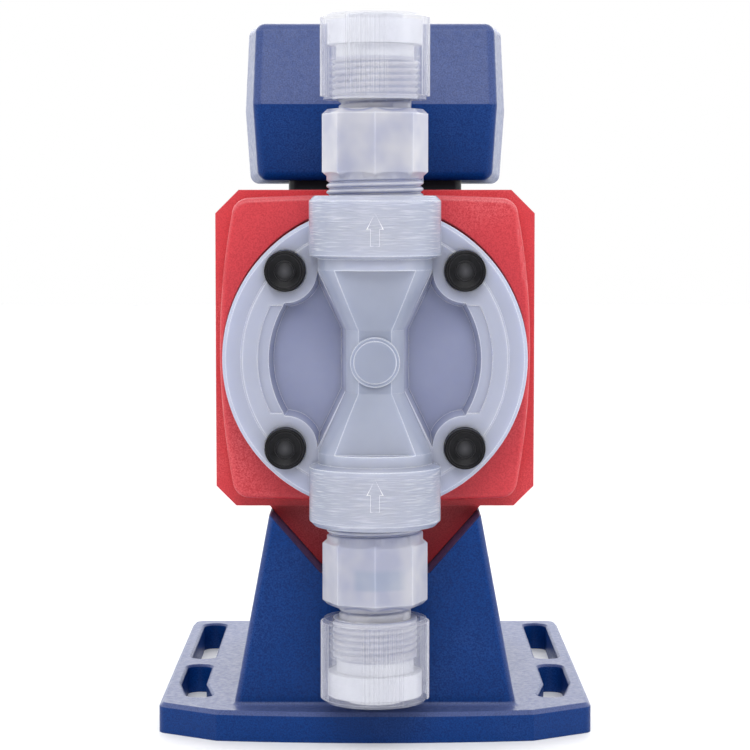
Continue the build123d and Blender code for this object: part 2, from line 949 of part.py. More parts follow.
bobbin_front = plate_rear + yoke_front_t
bobbin_r = bobbin_bore_r + bobbin_wall
coil_r = bobbin_r + coil_depth
with BuildPart() as bobbin:
    revolve(
        axial_outline(
            (bobbin_bore_r, bobbin_front),
            (coil_r + seat_gap, bobbin_front),
            (coil_r + seat_gap, bobbin_front + bobbin_flange),
            (bobbin_r, bobbin_front + bobbin_flange),
            (bobbin_r, yoke_rear - bobbin_flange),
            (coil_r + seat_gap, yoke_rear - bobbin_flange),
            (coil_r + seat_gap, yoke_rear),
            (bobbin_bore_r, yoke_rear),
        ),
        axis=pump_axis,
    )
write(bobbin, "bobbin")

with BuildPart() as coil:
    revolve(
        axial_outline(
            (bobbin_r + seat_gap, bobbin_front + bobbin_flange),
            (coil_r, bobbin_front + bobbin_flange),
            (coil_r, yoke_rear - bobbin_flange),
            (bobbin_r + seat_gap, yoke_rear - bobbin_flange),
        ),
        axis=pump_axis,
    )
write(coil, "coil")

with BuildPart() as armature:
    revolve(
        axial_outline(
            (shaft_r, armature_front + armature_pocket),
            (spring_pocket_r, armature_front + armature_pocket),
            (spring_pocket_r, armature_front),
            (armature_r, armature_front),
            (armature_r, armature_rear),
            (shaft_r, armature_rear),
        ),
        axis=pump_axis,
    )
write(armature, "armature")

with BuildPart() as plunger_shaft:
    with BuildSketch(facing_front(armature_rear, axis_z)):
        Circle(shaft_r)
    extrude(amount=armature_rear - shaft_front)
write(plunger_shaft, "plunger_shaft")

with BuildPart() as shaft_bush:
    revolve(
        axial_outline(
            (shaft_r + running_gap, insert_room + stop_gap),
            (bush_r, insert_room + stop_gap),
            (bush_r, plate_rear + yoke_front_t),
            (shaft_r + running_gap, plate_rear + yoke_front_t),
        ),
        axis=pump_axis,
    )
write(shaft_bush, "shaft_bush")

# Return spring: square wire wound between the pole's pocket and the armature's
spring_room = armature_front + armature_pocket - spring_front
spring_height = spring_room - spring_wire - 2 * seat_gap
with BuildPart() as return_spring:
    with BuildLine() as spring_path:
        Helix(
            pitch=spring_height / spring_turns,
            height=spring_height,
            radius=spring_r,
            center=(0, head_front_y + spring_front + seat_gap + spring_wire / 2, axis_z),
            direction=(0, 1, 0),
        )
    with BuildSketch(Plane(origin=spring_path.line @ 0, z_dir=spring_path.line % 0)):
        Rectangle(spring_wire, spring_wire)
    sweep(path=spring_path.line, is_frenet=True)
write(return_spring, "return_spring")


# Drive housing: a chamfered box with a V keel that lies in the base's notch
def housing_outline(depth, inset=0.0):
    """Outline of the drive housing at a depth, seen from the front."""
    half = housing_half - inset
    with BuildSketch(facing_front(depth)) as outline:
        with BuildLine():
            Polyline(
                (-half, housing_top - housing_corner),
                (housing_corner - half, housing_top - inset),
                (half - housing_corner, housing_top - inset),
                (half, housing_top - housing_corner),
                (half, housing_shoulder),
                (tongue_half_top - inset, plate_foot),
                (tongue_half_foot - inset, tongue_foot + inset),
                (inset - tongue_half_foot, tongue_foot + inset),
                (inset - tongue_half_top, plate_foot),
                (-half, housing_shoulder),
                close=True,
            )
        make_face()
    return outline.sketch


def cover_screw_spots():
    """Places of the four rear cover screws about the middle of the housing's flat sides."""
    return GridLocations(
        2 * (housing_half - cover_screw_inset),
        housing_top - housing_shoulder - 2 * cover_screw_inset,
        2,
        2,
    )


with BuildPart() as drive_housing:
    extrude(housing_outline(housing_rear), amount=housing_len)
    with BuildSketch(facing_front(housing_rear, axis_z)):
        Circle(yoke_r + seat_gap)
    extrude(amount=housing_len, mode=Mode.SUBTRACT)
    groove_middle = (plate_rear + housing_rear) / 2
    for side in (1, -1):
        with BuildSketch(side_view(side * housing_half)):
            with Locations((groove_middle, axis_z)):
                with GridLocations(housing_rib_pitch, 0, housing_ribs, 1):
                    SlotOverall(housing_half, housing_rib_pitch / 2, rotation=90)
        extrude(amount=-side * housing_groove, mode=Mode.SUBTRACT)
    with BuildSketch(facing_front(plate_rear, axis_z)):
        with PolarLocations(bracket_screw_at, 4):
            Circle(bracket_screw_r)
    extrude(amount=-plate_t, mode=Mode.SUBTRACT)
    with BuildSketch(facing_front(housing_rear)):
        with Locations((0, (housing_top + housing_shoulder) / 2)):
            with cover_screw_spots():
                Circle(cover_screw_r)
    extrude(amount=cover_t / 2, mode=Mode.SUBTRACT)
    with BuildSketch(Plane.XY.offset(tongue_foot)):
        with Locations((0, head_front_y + base_screw_front + base_screw_pitch / 2)):
            with GridLocations(0, base_screw_pitch, 1, 2):
                Circle(base_screw_r)
    extrude(amount=base_screw_grip, mode=Mode.SUBTRACT)
write(drive_housing, "drive_housing")

with BuildPart() as cover_gasket:
    extrude(housing_outline(cover_front, cover_gasket_t), amount=cover_gasket_t)
    with BuildSketch(facing_front(cover_front, axis_z)):
        Circle(yoke_r + seat_gap)
    extrude(amount=cover_gasket_t, mode=Mode.SUBTRACT)
    with BuildSketch(facing_front(cover_front)):
        with Locations((0, (housing_top + housing_shoulder) / 2)):
            with cover_screw_spots():
                Circle(cover_screw_r + seat_gap)
    extrude(amount=cover_gasket_t, mode=Mode.SUBTRACT)
write(cover_gasket, "cover_gasket")

with BuildPart() as drive_cover:
    extrude(housing_outline(cover_rear), amount=cover_t)
    chamfer(drive_cover.faces().sort_by(Axis.Y)[-1].edges(), length=cover_edge)
    with BuildSketch(facing_front(cover_front, axis_z)):
        Circle(yoke_r - yoke_wall)
        Circle(2 * spindle_r, mode=Mode.SUBTRACT)
    extrude(amount=-cover_t / 2, mode=Mode.SUBTRACT)
    with BuildSketch(facing_front(cover_front, axis_z)):
        Circle(spindle_r + running_gap)
    extrude(amount=-cover_t, mode=Mode.SUBTRACT)
    with Locations(Plane.XZ.offset(-head_front_y - cover_rear)):
        with Locations((0, (housing_top + housing_shoulder) / 2)):
            with cover_screw_spots():
                CounterBoreHole(
                    cover_screw_r + seat_gap,
                    bracket_screw_head_r + seat_gap,
                    bracket_screw_head_h + cover_edge,
                )
write(drive_cover, "drive_cover")

# Rear cover screws, heads sunk in the cover's counterbores
cover_screw_seat = cover_rear - bracket_screw_head_h - cover_edge
with BuildPart() as cover_screws:
    with BuildSketch(facing_front(cover_screw_seat)):
        with Locations((0, (housing_top + housing_shoulder) / 2)):
            with cover_screw_spots():
                Circle(bracket_screw_head_r)
    extrude(amount=-bracket_screw_head_h)
    with BuildSketch(facing_front(cover_screw_seat)):
        with Locations((0, (housing_top + housing_shoulder) / 2)):
            with cover_screw_spots():
                Circle(cover_screw_r)
    extrude(amount=cover_screw_seat - housing_rear + cover_t / 2)
write(cover_screws, "cover_screws")

# Stroke spindle and the knob that turns it
with BuildPart() as stroke_spindle:
    with BuildSketch(facing_front(spindle_rear, axis_z)):
        Circle(spindle_r)
    extrude(amount=spindle_rear - spindle_tip)
    chamfer(stroke_spindle.faces().sort_by(Axis.Y)[0].edges(), length=spindle_r / 4)
write(stroke_spindle, "stroke_spindle")

knob_front = cover_rear + stroke + stop_gap
with BuildPart() as stroke_knob:
    with BuildSketch(facing_front(knob_front, axis_z)):
        Circle(knob_skirt_r)
    extrude(amount=-knob_skirt_h, taper=pocket_draft)
    with BuildSketch(facing_front(knob_front + knob_h, axis_z)):
        Circle(knob_r)
        with PolarLocations(knob_r + knob_flute_r / 2, knob_flutes):
            Circle(knob_flute_r, mode=Mode.SUBTRACT)
    extrude(amount=knob_h - knob_skirt_h)
    with BuildSketch(facing_front(knob_front, axis_z)):
        Circle(spindle_r + running_gap)
    extrude(amount=-spindle_end - stop_gap, mode=Mode.SUBTRACT)
write(stroke_knob, "stroke_knob")


# Base: slotted flange with a swept-back front, and a tapering pedestal that is hollow from below
def pedestal_outline(depth, inset, foot, top):
    """Trapezoid across the pedestal between two heights, drawn in by an inset."""
    slope = (pedestal_half_foot - pedestal_half_top) / (pedestal_top - base_flange_t)
    foot_half = pedestal_half_foot - slope * (foot - base_flange_t) - inset
    top_half = pedestal_half_foot - slope * (top - base_flange_t) - inset
    with BuildSketch(facing_front(depth)) as outline:
        with BuildLine():
            Polyline((-foot_half, foot), (-top_half, top), (top_half, top), (foot_half, foot), close=True)
        make_face()
    return outline.sketch


def slot(start, end, x):
    """Straight run of a mounting slot along the base, between the depths of its two ends."""
    with Locations((x, head_front_y + (start + end) / 2)):
        return SlotOverall(end - start, slot_w, rotation=90)


with BuildPart() as base:
    with BuildSketch() as flange_outline:
        with BuildLine():
            ThreePointArc(
                (-base_nose_half, head_front_y + base_front + base_nose_bow),
                (0, head_front_y + base_front),
                (base_nose_half, head_front_y + base_front + base_nose_bow),
            )
            Polyline(
                (base_nose_half, head_front_y + base_front + base_nose_bow),
                (base_half, head_front_y + base_corner_depth),
                (base_half, head_front_y + base_rear),
                (-base_half, head_front_y + base_rear),
                (-base_half, head_front_y + base_corner_depth),
                (-base_nose_half, head_front_y + base_front + base_nose_bow),
            )
        make_face()
        fillet(flange_outline.vertices().filter_by(lambda v: abs(v.X) > base_nose_half + 1), base_corner_r)
    extrude(amount=base_flange_t)
    chamfer(base.faces().sort_by(Axis.Z)[-1].edges(), length=base_edge)
    extrude(
        pedestal_outline(pedestal_rear, 0, base_edge, pedestal_top),
        amount=pedestal_rear - pedestal_front,
    )
    fillet(
        [
            edge
            for edge in base.edges()
            if edge.center().Z > base_flange_t
            and abs(edge.center().Y - head_front_y - pedestal_front) < seat_gap
            and abs(edge.center().X) > pedestal_half_top / 2
        ],
        radius=pedestal_edge,
    )
    with BuildSketch(facing_front(pedestal_rear)):
        with BuildLine():
            Polyline(
                (-tongue_half_top - notch_gap, plate_foot),
                (-tongue_half_foot - notch_gap, tongue_foot - notch_gap),
                (tongue_half_foot + notch_gap, tongue_foot - notch_gap),
                (tongue_half_top + notch_gap, plate_foot),
                close=True,
            )
        make_face()
    extrude(amount=pedestal_rear - pedestal_front, mode=Mode.SUBTRACT)
    cell_pitch = (pedestal_rear - pedestal_front - base_wall) / base_cells
    for cell in range(base_cells):
        cell_rear = pedestal_front + base_wall + (cell + 1) * cell_pitch - base_wall
        extrude(
            pedestal_outline(cell_rear, base_wall, 0, tongue_foot - notch_gap - base_wall),
            amount=cell_pitch - base_wall,
            mode=Mode.SUBTRACT,
        )
    with BuildSketch(Plane.XY.offset(base_flange_t)):
        for side in (1, -1):
            slot(rear_slot_start, rear_slot_end, side * slot_x)
            slot(front_slot_knee - slot_w / 2, front_slot_end, side * slot_x)
            SlotCenterPoint(
                (
                    side * (slot_x - front_slot_shift / 2),
                    head_front_y + (front_slot_start + slot_w / 2 + front_slot_knee) / 2,
                ),
                (side * slot_x, head_front_y + front_slot_knee),
                slot_w,
            )
    extrude(amount=-base_flange_t, mode=Mode.SUBTRACT)
    top_edges = [edge for edge in base.edges() if abs(edge.center().Z - base_flange_t) < seat_gap]
    foot_edges = [
        edge
        for edge in top_edges
        if abs(edge.center().X) < pedestal_half_foot + base_edge
        and pedestal_front - seat_gap < edge.center().Y - head_front_y < pedestal_rear + seat_gap
    ]
    slot_edges = [
        edge
        for edge in top_edges
        if slot_x - slot_w < abs(edge.center().X) < slot_x + slot_w / 2 + seat_gap
        and front_slot_start - slot_w < edge.center().Y - head_front_y < rear_slot_end + seat_gap
    ]
    fillet(foot_edges, radius=pedestal_foot_r)
    chamfer(slot_edges, length=slot_edge)
    with BuildSketch(Plane.XY.offset(tongue_foot)):
        with Locations((0, head_front_y + base_screw_front + base_screw_pitch / 2)):
            with GridLocations(0, base_screw_pitch, 1, 2):
                Circle(base_screw_r + seat_gap)
    extrude(amount=-2 * base_wall, mode=Mode.SUBTRACT)
write(base, "base")

with BuildPart() as base_screws:
    with BuildSketch(Plane.XY.offset(tongue_foot - notch_gap - base_wall)):
        with Locations((0, head_front_y + base_screw_front + base_screw_pitch / 2)):
            with GridLocations(0, base_screw_pitch, 1, 2):
                Circle(base_screw_head_r)
    extrude(amount=-base_screw_head_h)
    with BuildSketch(Plane.XY.offset(tongue_foot - notch_gap - base_wall)):
        with Locations((0, head_front_y + base_screw_front + base_screw_pitch / 2)):
            with GridLocations(0, base_screw_pitch, 1, 2):
                Circle(base_screw_r)
    extrude(amount=base_wall + notch_gap + base_screw_grip)
write(base_screws, "base_screws")


# Control box: two moulded shells that meet at the widest section, with a crease running round them
def case_outline(depth, sizes, inset):
    """Six-cornered outline of the control box at a depth, widest on its crease."""
    crease_half, top_z, foot_z = sizes
    top_half = crease_half - case_flank_top * (top_z - case_crease_z)
    foot_half = crease_half - case_flank_foot * (case_crease_z - foot_z)
    with BuildSketch(facing_front(depth)) as outline:
        with BuildLine():
            Polyline(
                (top_half - inset, top_z - inset),
                (crease_half - inset, case_crease_z),
                (foot_half - inset, foot_z + inset),
                (inset - foot_half, foot_z + inset),
                (inset - crease_half, case_crease_z),
                (inset - top_half, top_z - inset),
                close=True,
            )
        make_face()
    return outline.sketch


def case_block(start, end, start_sizes, end_sizes, inset):
    """Solid between two depths: its top, foot and creased flanks run straight from one outline to the other."""
    start_half, start_top, start_foot = start_sizes
    end_half, end_top, end_foot = end_sizes
    crease_run = Vector(end_half - start_half, end - start, 0)
    crease_x = start_half - inset
    with BuildPart() as block:
        with BuildSketch(side_view()):
            with BuildLine():
                Polyline(
                    (start, start_top - inset),
                    (end, end_top - inset),
                    (end, end_foot + inset),
                    (start, start_foot + inset),
                    close=True,
                )
            make_face()
        extrude(amount=case_reach, both=True)
        for side in (1, -1):
            with BuildSketch(facing_front(start)):
                with BuildLine():
                    Polyline(
                        (side * crease_x, case_crease_z),
                        (side * (crease_x - case_flank_top * case_reach), case_crease_z + case_reach),
                        (side * 2 * case_reach, case_crease_z + case_reach),
                        (side * 2 * case_reach, case_crease_z - case_reach),
                        (side * (crease_x - case_flank_foot * case_reach), case_crease_z - case_reach),
                        close=True,
                    )
                make_face()
            extrude(
                amount=crease_run.length,
                dir=(side * crease_run.X, crease_run.Y, 0),
                mode=Mode.SUBTRACT,
            )
    return block.part


def case_front_block(inset):
    """Solid of the front half, drawn in by an inset, with its two leaning front facets."""
    rise = case_front_sizes[1] - case_crease_z
    fall = case_crease_z - case_front_sizes[2]
    with BuildPart() as block:
        add(case_block(case_front, case_parting, case_front_sizes, case_parting_sizes, inset))
        with BuildSketch(side_view()):
            with BuildLine():
                Polyline(
                    (case_front + inset, case_crease_z),
                    (case_front + inset + 2 * facet_lean_top, case_crease_z + 2 * rise),
                    (case_front - case_wall, case_crease_z + 2 * rise),
                    (case_front - case_wall, case_crease_z - 2 * fall),
                    (case_front + inset + 2 * facet_lean_foot, case_crease_z - 2 * fall),
                    close=True,
                )
            make_face()
        extrude(amount=case_reach, both=True, mode=Mode.SUBTRACT)
    return block.part


def case_rear_block(start, inset):
    """Solid of the rear half from a depth on, drawn in by an inset, with its leaning panel facet."""
    tilt = math.radians(panel_angle)
    knee_z = panel_foot_z + inset * (1 - 1 / math.cos(tilt)) / math.tan(tilt)
    with BuildPart() as block:
        add(case_block(start, case_rear - inset, case_parting_sizes, case_rear_sizes, inset))
        with BuildSketch(side_view()):
            with BuildLine():
                Polyline(
                    (case_rear - inset, knee_z),
                    (case_rear - inset - 2 * panel_lean, knee_z + 2 * panel_height),
                    (case_rear + case_wall, knee_z + 2 * panel_height),
                    (case_rear + case_wall, knee_z),
                    close=True,
                )
            make_face()
        extrude(amount=case_reach, both=True, mode=Mode.SUBTRACT)
    return block.part


def soft_edges(shell, start, end):
    """Edges of a shell between two depths that are rounded: all but the crease and the panel's knee."""
    near = head_front_y + start + seat_gap
    far = head_front_y + end + seat_gap
    return [
        edge
        for edge in shell.edges()
        if near < edge.center().Y < far
        and abs(edge.center().Z - case_crease_z) > case_corner
        and abs(edge.center().Z - panel_foot_z) > seat_gap
    ]


def case_post_outline(depth, radius):
    """Four round screw posts at a depth, each with a rib to the side wall."""
    with BuildSketch(facing_front(depth)) as outline:
        for side in (1, -1):
            for height in (post_low_z, post_high_z):
                with Locations((side * post_x, height)):
                    Circle(radius)
                with Locations((side * (post_x + case_reach) / 2, height)):
                    Rectangle(case_reach - post_x, post_rib)
    return outline.sketch


def case_post_holes(depth, radius):
    """Four round holes on the axes of the screw posts."""
    with BuildSketch(facing_front(depth)) as outline:
        for side in (1, -1):
            for height in (post_low_z, post_high_z):
                with Locations((side * post_x, height)):
                    Circle(radius)
    return outline.sketch


with BuildPart() as front_posts:
    extrude(case_post_outline(case_parting, post_r), amount=post_reach)
    add(case_front_block(case_wall / 2), mode=Mode.INTERSECT)

with BuildPart() as control_case_front:
    add(case_front_block(0))
    fillet(soft_edges(control_case_front, 0, case_parting - stop_gap), radius=case_corner)
    add(case_front_block(case_wall), mode=Mode.SUBTRACT)
    add(front_posts.part)
    extrude(case_post_holes(case_parting, case_screw_r), amount=post_reach, mode=Mode.SUBTRACT)
write(control_case_front, "control_case_front")

# Neck adapter: the black block that carries the control box on the drive housing
adapter_len = case_parting - adapter_ahead_of_parting - adapter_front
with BuildPart() as neck_adapter:
    with BuildSketch(Plane.XY.offset(housing_top)):
        with Locations((0, head_front_y + adapter_front + adapter_len / 2)):
            RectangleRounded(2 * adapter_half, adapter_len, case_corner)
    extrude(amount=case_front_sizes[2] + adapter_into_case - housing_top)
    add(case_front_block(0), mode=Mode.SUBTRACT)
    with BuildSketch(Plane.XY.offset(housing_top)):
        with Locations((0, head_front_y + adapter_front + adapter_len / 2)):
            RectangleRounded(2 * (adapter_half + adapter_lip), adapter_len + 2 * adapter_lip, case_corner)
    extrude(amount=adapter_lip_h)
write(neck_adapter, "neck_adapter")

rear_start = case_parting + case_gasket_t
with BuildPart() as case_gasket:
    extrude(case_outline(rear_start, case_parting_sizes, case_gasket_t), amount=case_gasket_t)
    fillet(
        case_gasket.edges().filter_by(Axis.Y).filter_by(
            lambda edge: abs(edge.center().Z - case_crease_z) > case_corner
        ),
        radius=case_corner,
    )
    extrude(
        case_outline(rear_start, case_parting_sizes, case_wall),
        amount=case_gasket_t,
        mode=Mode.SUBTRACT,
    )
write(case_gasket, "case_gasket")


def panel_plane(height):
    """Plane of the operator panel as its user sees it, a height above the panel's surface."""
    tilt = math.radians(panel_angle)
    middle = (0, head_front_y + case_rear - panel_lean / 2, panel_foot_z + panel_height / 2)
    return Plane(origin=middle, x_dir=(-1, 0, 0), z_dir=(0, math.cos(tilt), math.sin(tilt))).offset(height)


def key_outline(height, size):
    """Four square keys in a block beside the window, at a height above the panel."""
    with BuildSketch(panel_plane(height)) as outline:
        with Locations((key_x, 0)):
            with GridLocations(key_pitch, key_pitch, 2, 2):
                RectangleRounded(size, size, key_flange)
    return outline.sketch


def lamp_outline(height, radius):
    """Row of round lamps under the window, at a height above the panel."""
    with BuildSketch(panel_plane(height)) as outline:
        with Locations((window_x, lamp_y)):
            with GridLocations(lamp_pitch, 0, lamps, 1):
                Circle(radius)
    return outline.sketch


def window_outline(height, grow):
    """Display window's rectangle, grown all round, at a height above the panel."""
    with BuildSketch(panel_plane(height)) as outline:
        with Locations((window_x, window_y)):
            Rectangle(window_w + 2 * grow, window_h + 2 * grow)
    return outline.sketch


def rear_wall_outline(depth, gland_radius, socket_radius):
    """Places of the cable gland and the two signal sockets on the rear wall, at a depth."""
    with BuildSketch(facing_front(depth)) as outline:
        with Locations((gland_x, socket_z)):
            Circle(gland_radius)
        with Locations((socket_x, socket_z), (socket_x + socket_pitch, socket_z)):
            Circle(socket_radius)
    return outline.sketch


with BuildPart() as rear_posts:
    extrude(case_post_outline(case_rear, post_r), amount=case_rear - rear_start)
    with BuildSketch(panel_plane(-board_behind)):
        with Locations(
            (-board_post_x, -board_post_y),
            (board_post_inner_x, -board_post_y),
            (key_x, 0),
        ):
            Circle(board_post_r)
    extrude(amount=board_behind)
    add(case_rear_block(rear_start, case_wall / 2), mode=Mode.INTERSECT)

screw_floor = rear_start + case_screw_floor
with BuildPart() as control_case_rear:
    add(case_rear_block(rear_start, 0))
    fillet(soft_edges(control_case_rear, rear_start, base_rear), radius=case_corner)
    add(case_rear_block(rear_start, case_wall), mode=Mode.SUBTRACT)
    add(rear_posts.part)
    extrude(
        case_post_holes(case_rear, case_screw_head_r + seat_gap),
        amount=case_rear - screw_floor,
        mode=Mode.SUBTRACT,
    )
    extrude(
        case_post_holes(screw_floor, case_screw_r + seat_gap),
        amount=case_screw_floor,
        mode=Mode.SUBTRACT,
    )
    extrude(key_outline(0, key_size + 2 * free_gap), amount=-case_wall, mode=Mode.SUBTRACT)
    extrude(lamp_outline(0, lamp_r + seat_gap), amount=-case_wall, mode=Mode.SUBTRACT)
    extrude(window_outline(0, -window_rim), amount=-case_wall, mode=Mode.SUBTRACT)
    extrude(
        rear_wall_outline(case_rear, gland_thread_r + seat_gap, socket_recess_r + seat_gap),
        amount=case_wall,
        mode=Mode.SUBTRACT,
    )
write(control_case_rear, "control_case_rear")

with BuildPart() as case_screws:
    extrude(case_post_holes(screw_floor, case_screw_head_r), amount=-case_screw_head_h)
    extrude(
        case_post_holes(screw_floor, case_screw_r),
        amount=case_screw_floor + case_gasket_t + post_reach / 2,
    )
write(case_screws, "case_screws")

# Operator panel: overlay, window, display, keys, lamps and the board behind them
with BuildPart() as panel_overlay:
    with BuildSketch(panel_plane(0)):
        RectangleRounded(overlay_w, overlay_h, case_wall)
    extrude(amount=overlay_t)
    extrude(key_outline(0, key_size + 2 * free_gap), amount=overlay_t, mode=Mode.SUBTRACT)
    extrude(lamp_outline(0, lamp_r + seat_gap), amount=overlay_t, mode=Mode.SUBTRACT)
    extrude(window_outline(0, seat_gap), amount=overlay_t, mode=Mode.SUBTRACT)
write(panel_overlay, "panel_overlay")

with BuildPart() as display_window:
    extrude(window_outline(0, 0), amount=2 * overlay_t)
write(display_window, "display_window")

with BuildPart() as display_module:
    extrude(window_outline(-board_behind, window_rim), amount=board_behind - case_wall - seat_gap)
write(display_module, "display_module")

with BuildPart() as circuit_board:
    with BuildSketch(panel_plane(-board_behind - board_t)):
        Rectangle(board_w, board_h)
    extrude(amount=board_t)
    extrude(key_outline(-board_behind, switch_size), amount=switch_h)
write(circuit_board, "circuit_board")

with BuildPart() as status_lamps:
    extrude(lamp_outline(-board_behind, lamp_r), amount=board_behind + lamp_ahead)
write(status_lamps, "status_lamps")

key_names = ("start_key", "stop_key", "up_key", "down_key")
key_spots = ((-1, 1), (-1, -1), (1, 1), (1, -1))
for name, (across, up) in zip(key_names, key_spots):
    spot = (key_x + across * key_pitch / 2, up * key_pitch / 2)
    flange_top = -case_wall - stop_gap
    with BuildPart() as key:
        with BuildSketch(panel_plane(flange_top)):
            with Locations(spot):
                RectangleRounded(key_size, key_size, key_flange)
        extrude(amount=key_ahead - flange_top)
        with BuildSketch(panel_plane(flange_top)):
            with Locations(spot):
                Rectangle(key_size + 2 * key_flange, key_size + 2 * key_flange)
        extrude(amount=-key_flange_t)
        with BuildSketch(panel_plane(flange_top - key_flange_t)):
            with Locations(spot):
                Circle(key_stem_r)
        extrude(amount=key_travel + stop_gap + switch_h - board_behind - flange_top + key_flange_t)
    write(key, name)

# Cable gland and signal sockets
with BuildPart() as cable_gland:
    with BuildSketch(facing_front(case_rear + gland_body_h)):
        with Locations((gland_x, socket_z)):
            Circle(gland_r)
    extrude(amount=gland_body_h)
    with BuildSketch(facing_front(case_rear + gland_body_h + gland_nut_h / 2)):
        with Locations((gland_x, socket_z)):
            Circle(gland_thread_r)
    extrude(amount=gland_body_h + gland_nut_h / 2 + 2 * case_wall)
    with BuildSketch(facing_front(case_rear + gland_body_h + gland_nut_h / 2)):
        with Locations((gland_x, socket_z)):
            Circle(gland_bore_r)
    extrude(amount=gland_body_h + gland_nut_h / 2 + 2 * case_wall, mode=Mode.SUBTRACT)
write(cable_gland, "cable_gland")

with BuildPart() as gland_nut:
    with BuildSketch(facing_front(case_rear + gland_body_h + gland_nut_h)):
        with Locations((gland_x, socket_z)):
            RegularPolygon(gland_nut_flats / 2, 6, major_radius=False)
            Circle(gland_bore_r, mode=Mode.SUBTRACT)
    extrude(amount=gland_nut_h)
    with BuildSketch(facing_front(case_rear + gland_body_h)):
        with Locations((gland_x, socket_z)):
            Circle(gland_thread_r + seat_gap)
    extrude(amount=-gland_nut_h / 2 - seat_gap, mode=Mode.SUBTRACT)
write(gland_nut, "gland_nut")

with BuildPart() as signal_sockets:
    with BuildSketch(facing_front(case_rear + socket_h)):
        with Locations((socket_x, socket_z), (socket_x + socket_pitch, socket_z)):
            Circle(socket_r)
    extrude(amount=socket_h)
    with BuildSketch(facing_front(case_rear)):
        with Locations((socket_x, socket_z), (socket_x + socket_pitch, socket_z)):
            Circle(socket_recess_r)
    extrude(amount=case_wall + socket_inner)
    with BuildSketch(facing_front(case_rear + socket_h)):
        with Locations((socket_x, socket_z), (socket_x + socket_pitch, socket_z)):
            Circle(socket_recess_r)
    extrude(amount=socket_h / 2, mode=Mode.SUBTRACT)
write(signal_sockets, "signal_sockets")

with BuildPart() as socket_caps:
    with BuildSketch(facing_front(case_rear + socket_h + seat_gap + socket_cap_wall)):
        with Locations((socket_x, socket_z), (socket_x + socket_pitch, socket_z)):
            Circle(socket_r + seat_gap + socket_cap_wall)
    extrude(amount=socket_cap_h)
    with BuildSketch(facing_front(case_rear + socket_h + seat_gap)):
        with Locations((socket_x, socket_z), (socket_x + socket_pitch, socket_z)):
            Circle(socket_r + seat_gap)
    extrude(amount=socket_cap_h, mode=Mode.SUBTRACT)
write(socket_caps, "socket_caps")
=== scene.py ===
# %% [markdown]
# # A diaphragm dosing pump, finished in Blender
# The pump's frame comes from CAD: every solid is already in its place, in metres, with +Z up and the
# liquid end towards -Y. This lesson gives each solid its real finish and models what CAD left plain:
# threads, turned bolt caps, flow arrows, screw drives and the marks of the dial and the operator panel.
# Loading the frame comes first, because each later cell asks it where things are.

# %% Load the frame
import bpy
import math
from mathutils import Matrix, Vector


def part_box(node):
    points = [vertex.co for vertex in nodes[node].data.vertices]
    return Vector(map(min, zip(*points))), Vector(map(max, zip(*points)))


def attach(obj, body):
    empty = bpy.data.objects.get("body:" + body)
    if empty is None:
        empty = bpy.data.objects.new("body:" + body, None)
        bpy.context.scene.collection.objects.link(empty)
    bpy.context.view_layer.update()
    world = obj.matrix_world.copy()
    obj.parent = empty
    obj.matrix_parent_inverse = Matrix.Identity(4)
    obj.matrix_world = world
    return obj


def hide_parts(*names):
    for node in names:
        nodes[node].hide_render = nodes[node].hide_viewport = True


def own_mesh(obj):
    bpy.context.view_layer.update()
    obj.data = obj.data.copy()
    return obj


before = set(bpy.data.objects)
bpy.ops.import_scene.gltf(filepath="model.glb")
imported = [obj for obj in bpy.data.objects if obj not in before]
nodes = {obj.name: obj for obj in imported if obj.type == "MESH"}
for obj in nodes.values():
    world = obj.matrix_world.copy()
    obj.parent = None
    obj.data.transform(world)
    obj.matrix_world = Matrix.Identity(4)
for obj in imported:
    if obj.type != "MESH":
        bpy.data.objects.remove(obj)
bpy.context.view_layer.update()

# %% [markdown]
# A few places serve the whole lesson. The ports share one upright axis in front of the head, and the
# head, the knob and the solenoid share one level axis. Both are measured from the frame, not typed in,
# so a changed frame carries the new pieces along.

# %% Measure the two axes and set the unit
mm = 0.001
TAU = 2 * math.pi


def low(node):
    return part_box(node)[0]


def high(node):
    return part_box(node)[1]


def middle(node):
    return (low(node) + high(node)) / 2


port = Vector((0, middle("discharge_gasket").y, 0))
hub = Vector((0, 0, middle("solenoid_yoke").z))
print("port axis at y", round(port.y / mm, 2), "mm; pump axis at z", round(hub.z / mm, 2), "mm")

# %% [markdown]
# ## The studio
# The camera stands level with the top of the head and looks down by four degrees through a long lens,
# so uprights stay nearly parallel. The floor is plain and pale. One large softbox above the lens models
# the fronts, two strips at the sides draw the upright edges, and a glow from behind lights the clear
# plastics through. The white tent around them comes last, once the helpers for its shading exist.

# %% Camera
camera_data = bpy.data.cameras.new("long_lens")
camera_data.lens = 120
camera_data.clip_end = 20
camera = bpy.data.objects.new("long_lens", camera_data)
bpy.context.scene.collection.objects.link(camera)
camera.location = (0.0, -0.7939, 0.1592)
camera.rotation_euler = (math.radians(90 - 4.0), 0, 0)
bpy.context.scene.camera = camera
print("camera", [round(v, 3) for v in camera.location])

# %% Floor and lights


def deselect():
    if bpy.context.mode != "OBJECT":
        bpy.ops.object.mode_set(mode="OBJECT")
    bpy.ops.object.select_all(action="DESELECT")


deselect()
bpy.ops.mesh.primitive_plane_add(size=6, location=(0, 0, 0))
floor = bpy.context.object
floor.name = "floor"

bpy.context.scene.view_settings.view_transform = "Standard"


def softbox(name, place, aim, width, height, watts):
    data = bpy.data.lights.new(name, "AREA")
    data.shape = "RECTANGLE"
    data.size = width
    data.size_y = height
    data.energy = watts
    lamp = bpy.data.objects.new(name, data)
    lamp.location = place
    lamp.rotation_euler = (Vector(aim) - Vector(place)).to_track_quat("-Z", "Y").to_euler()
    bpy.context.scene.collection.objects.link(lamp)


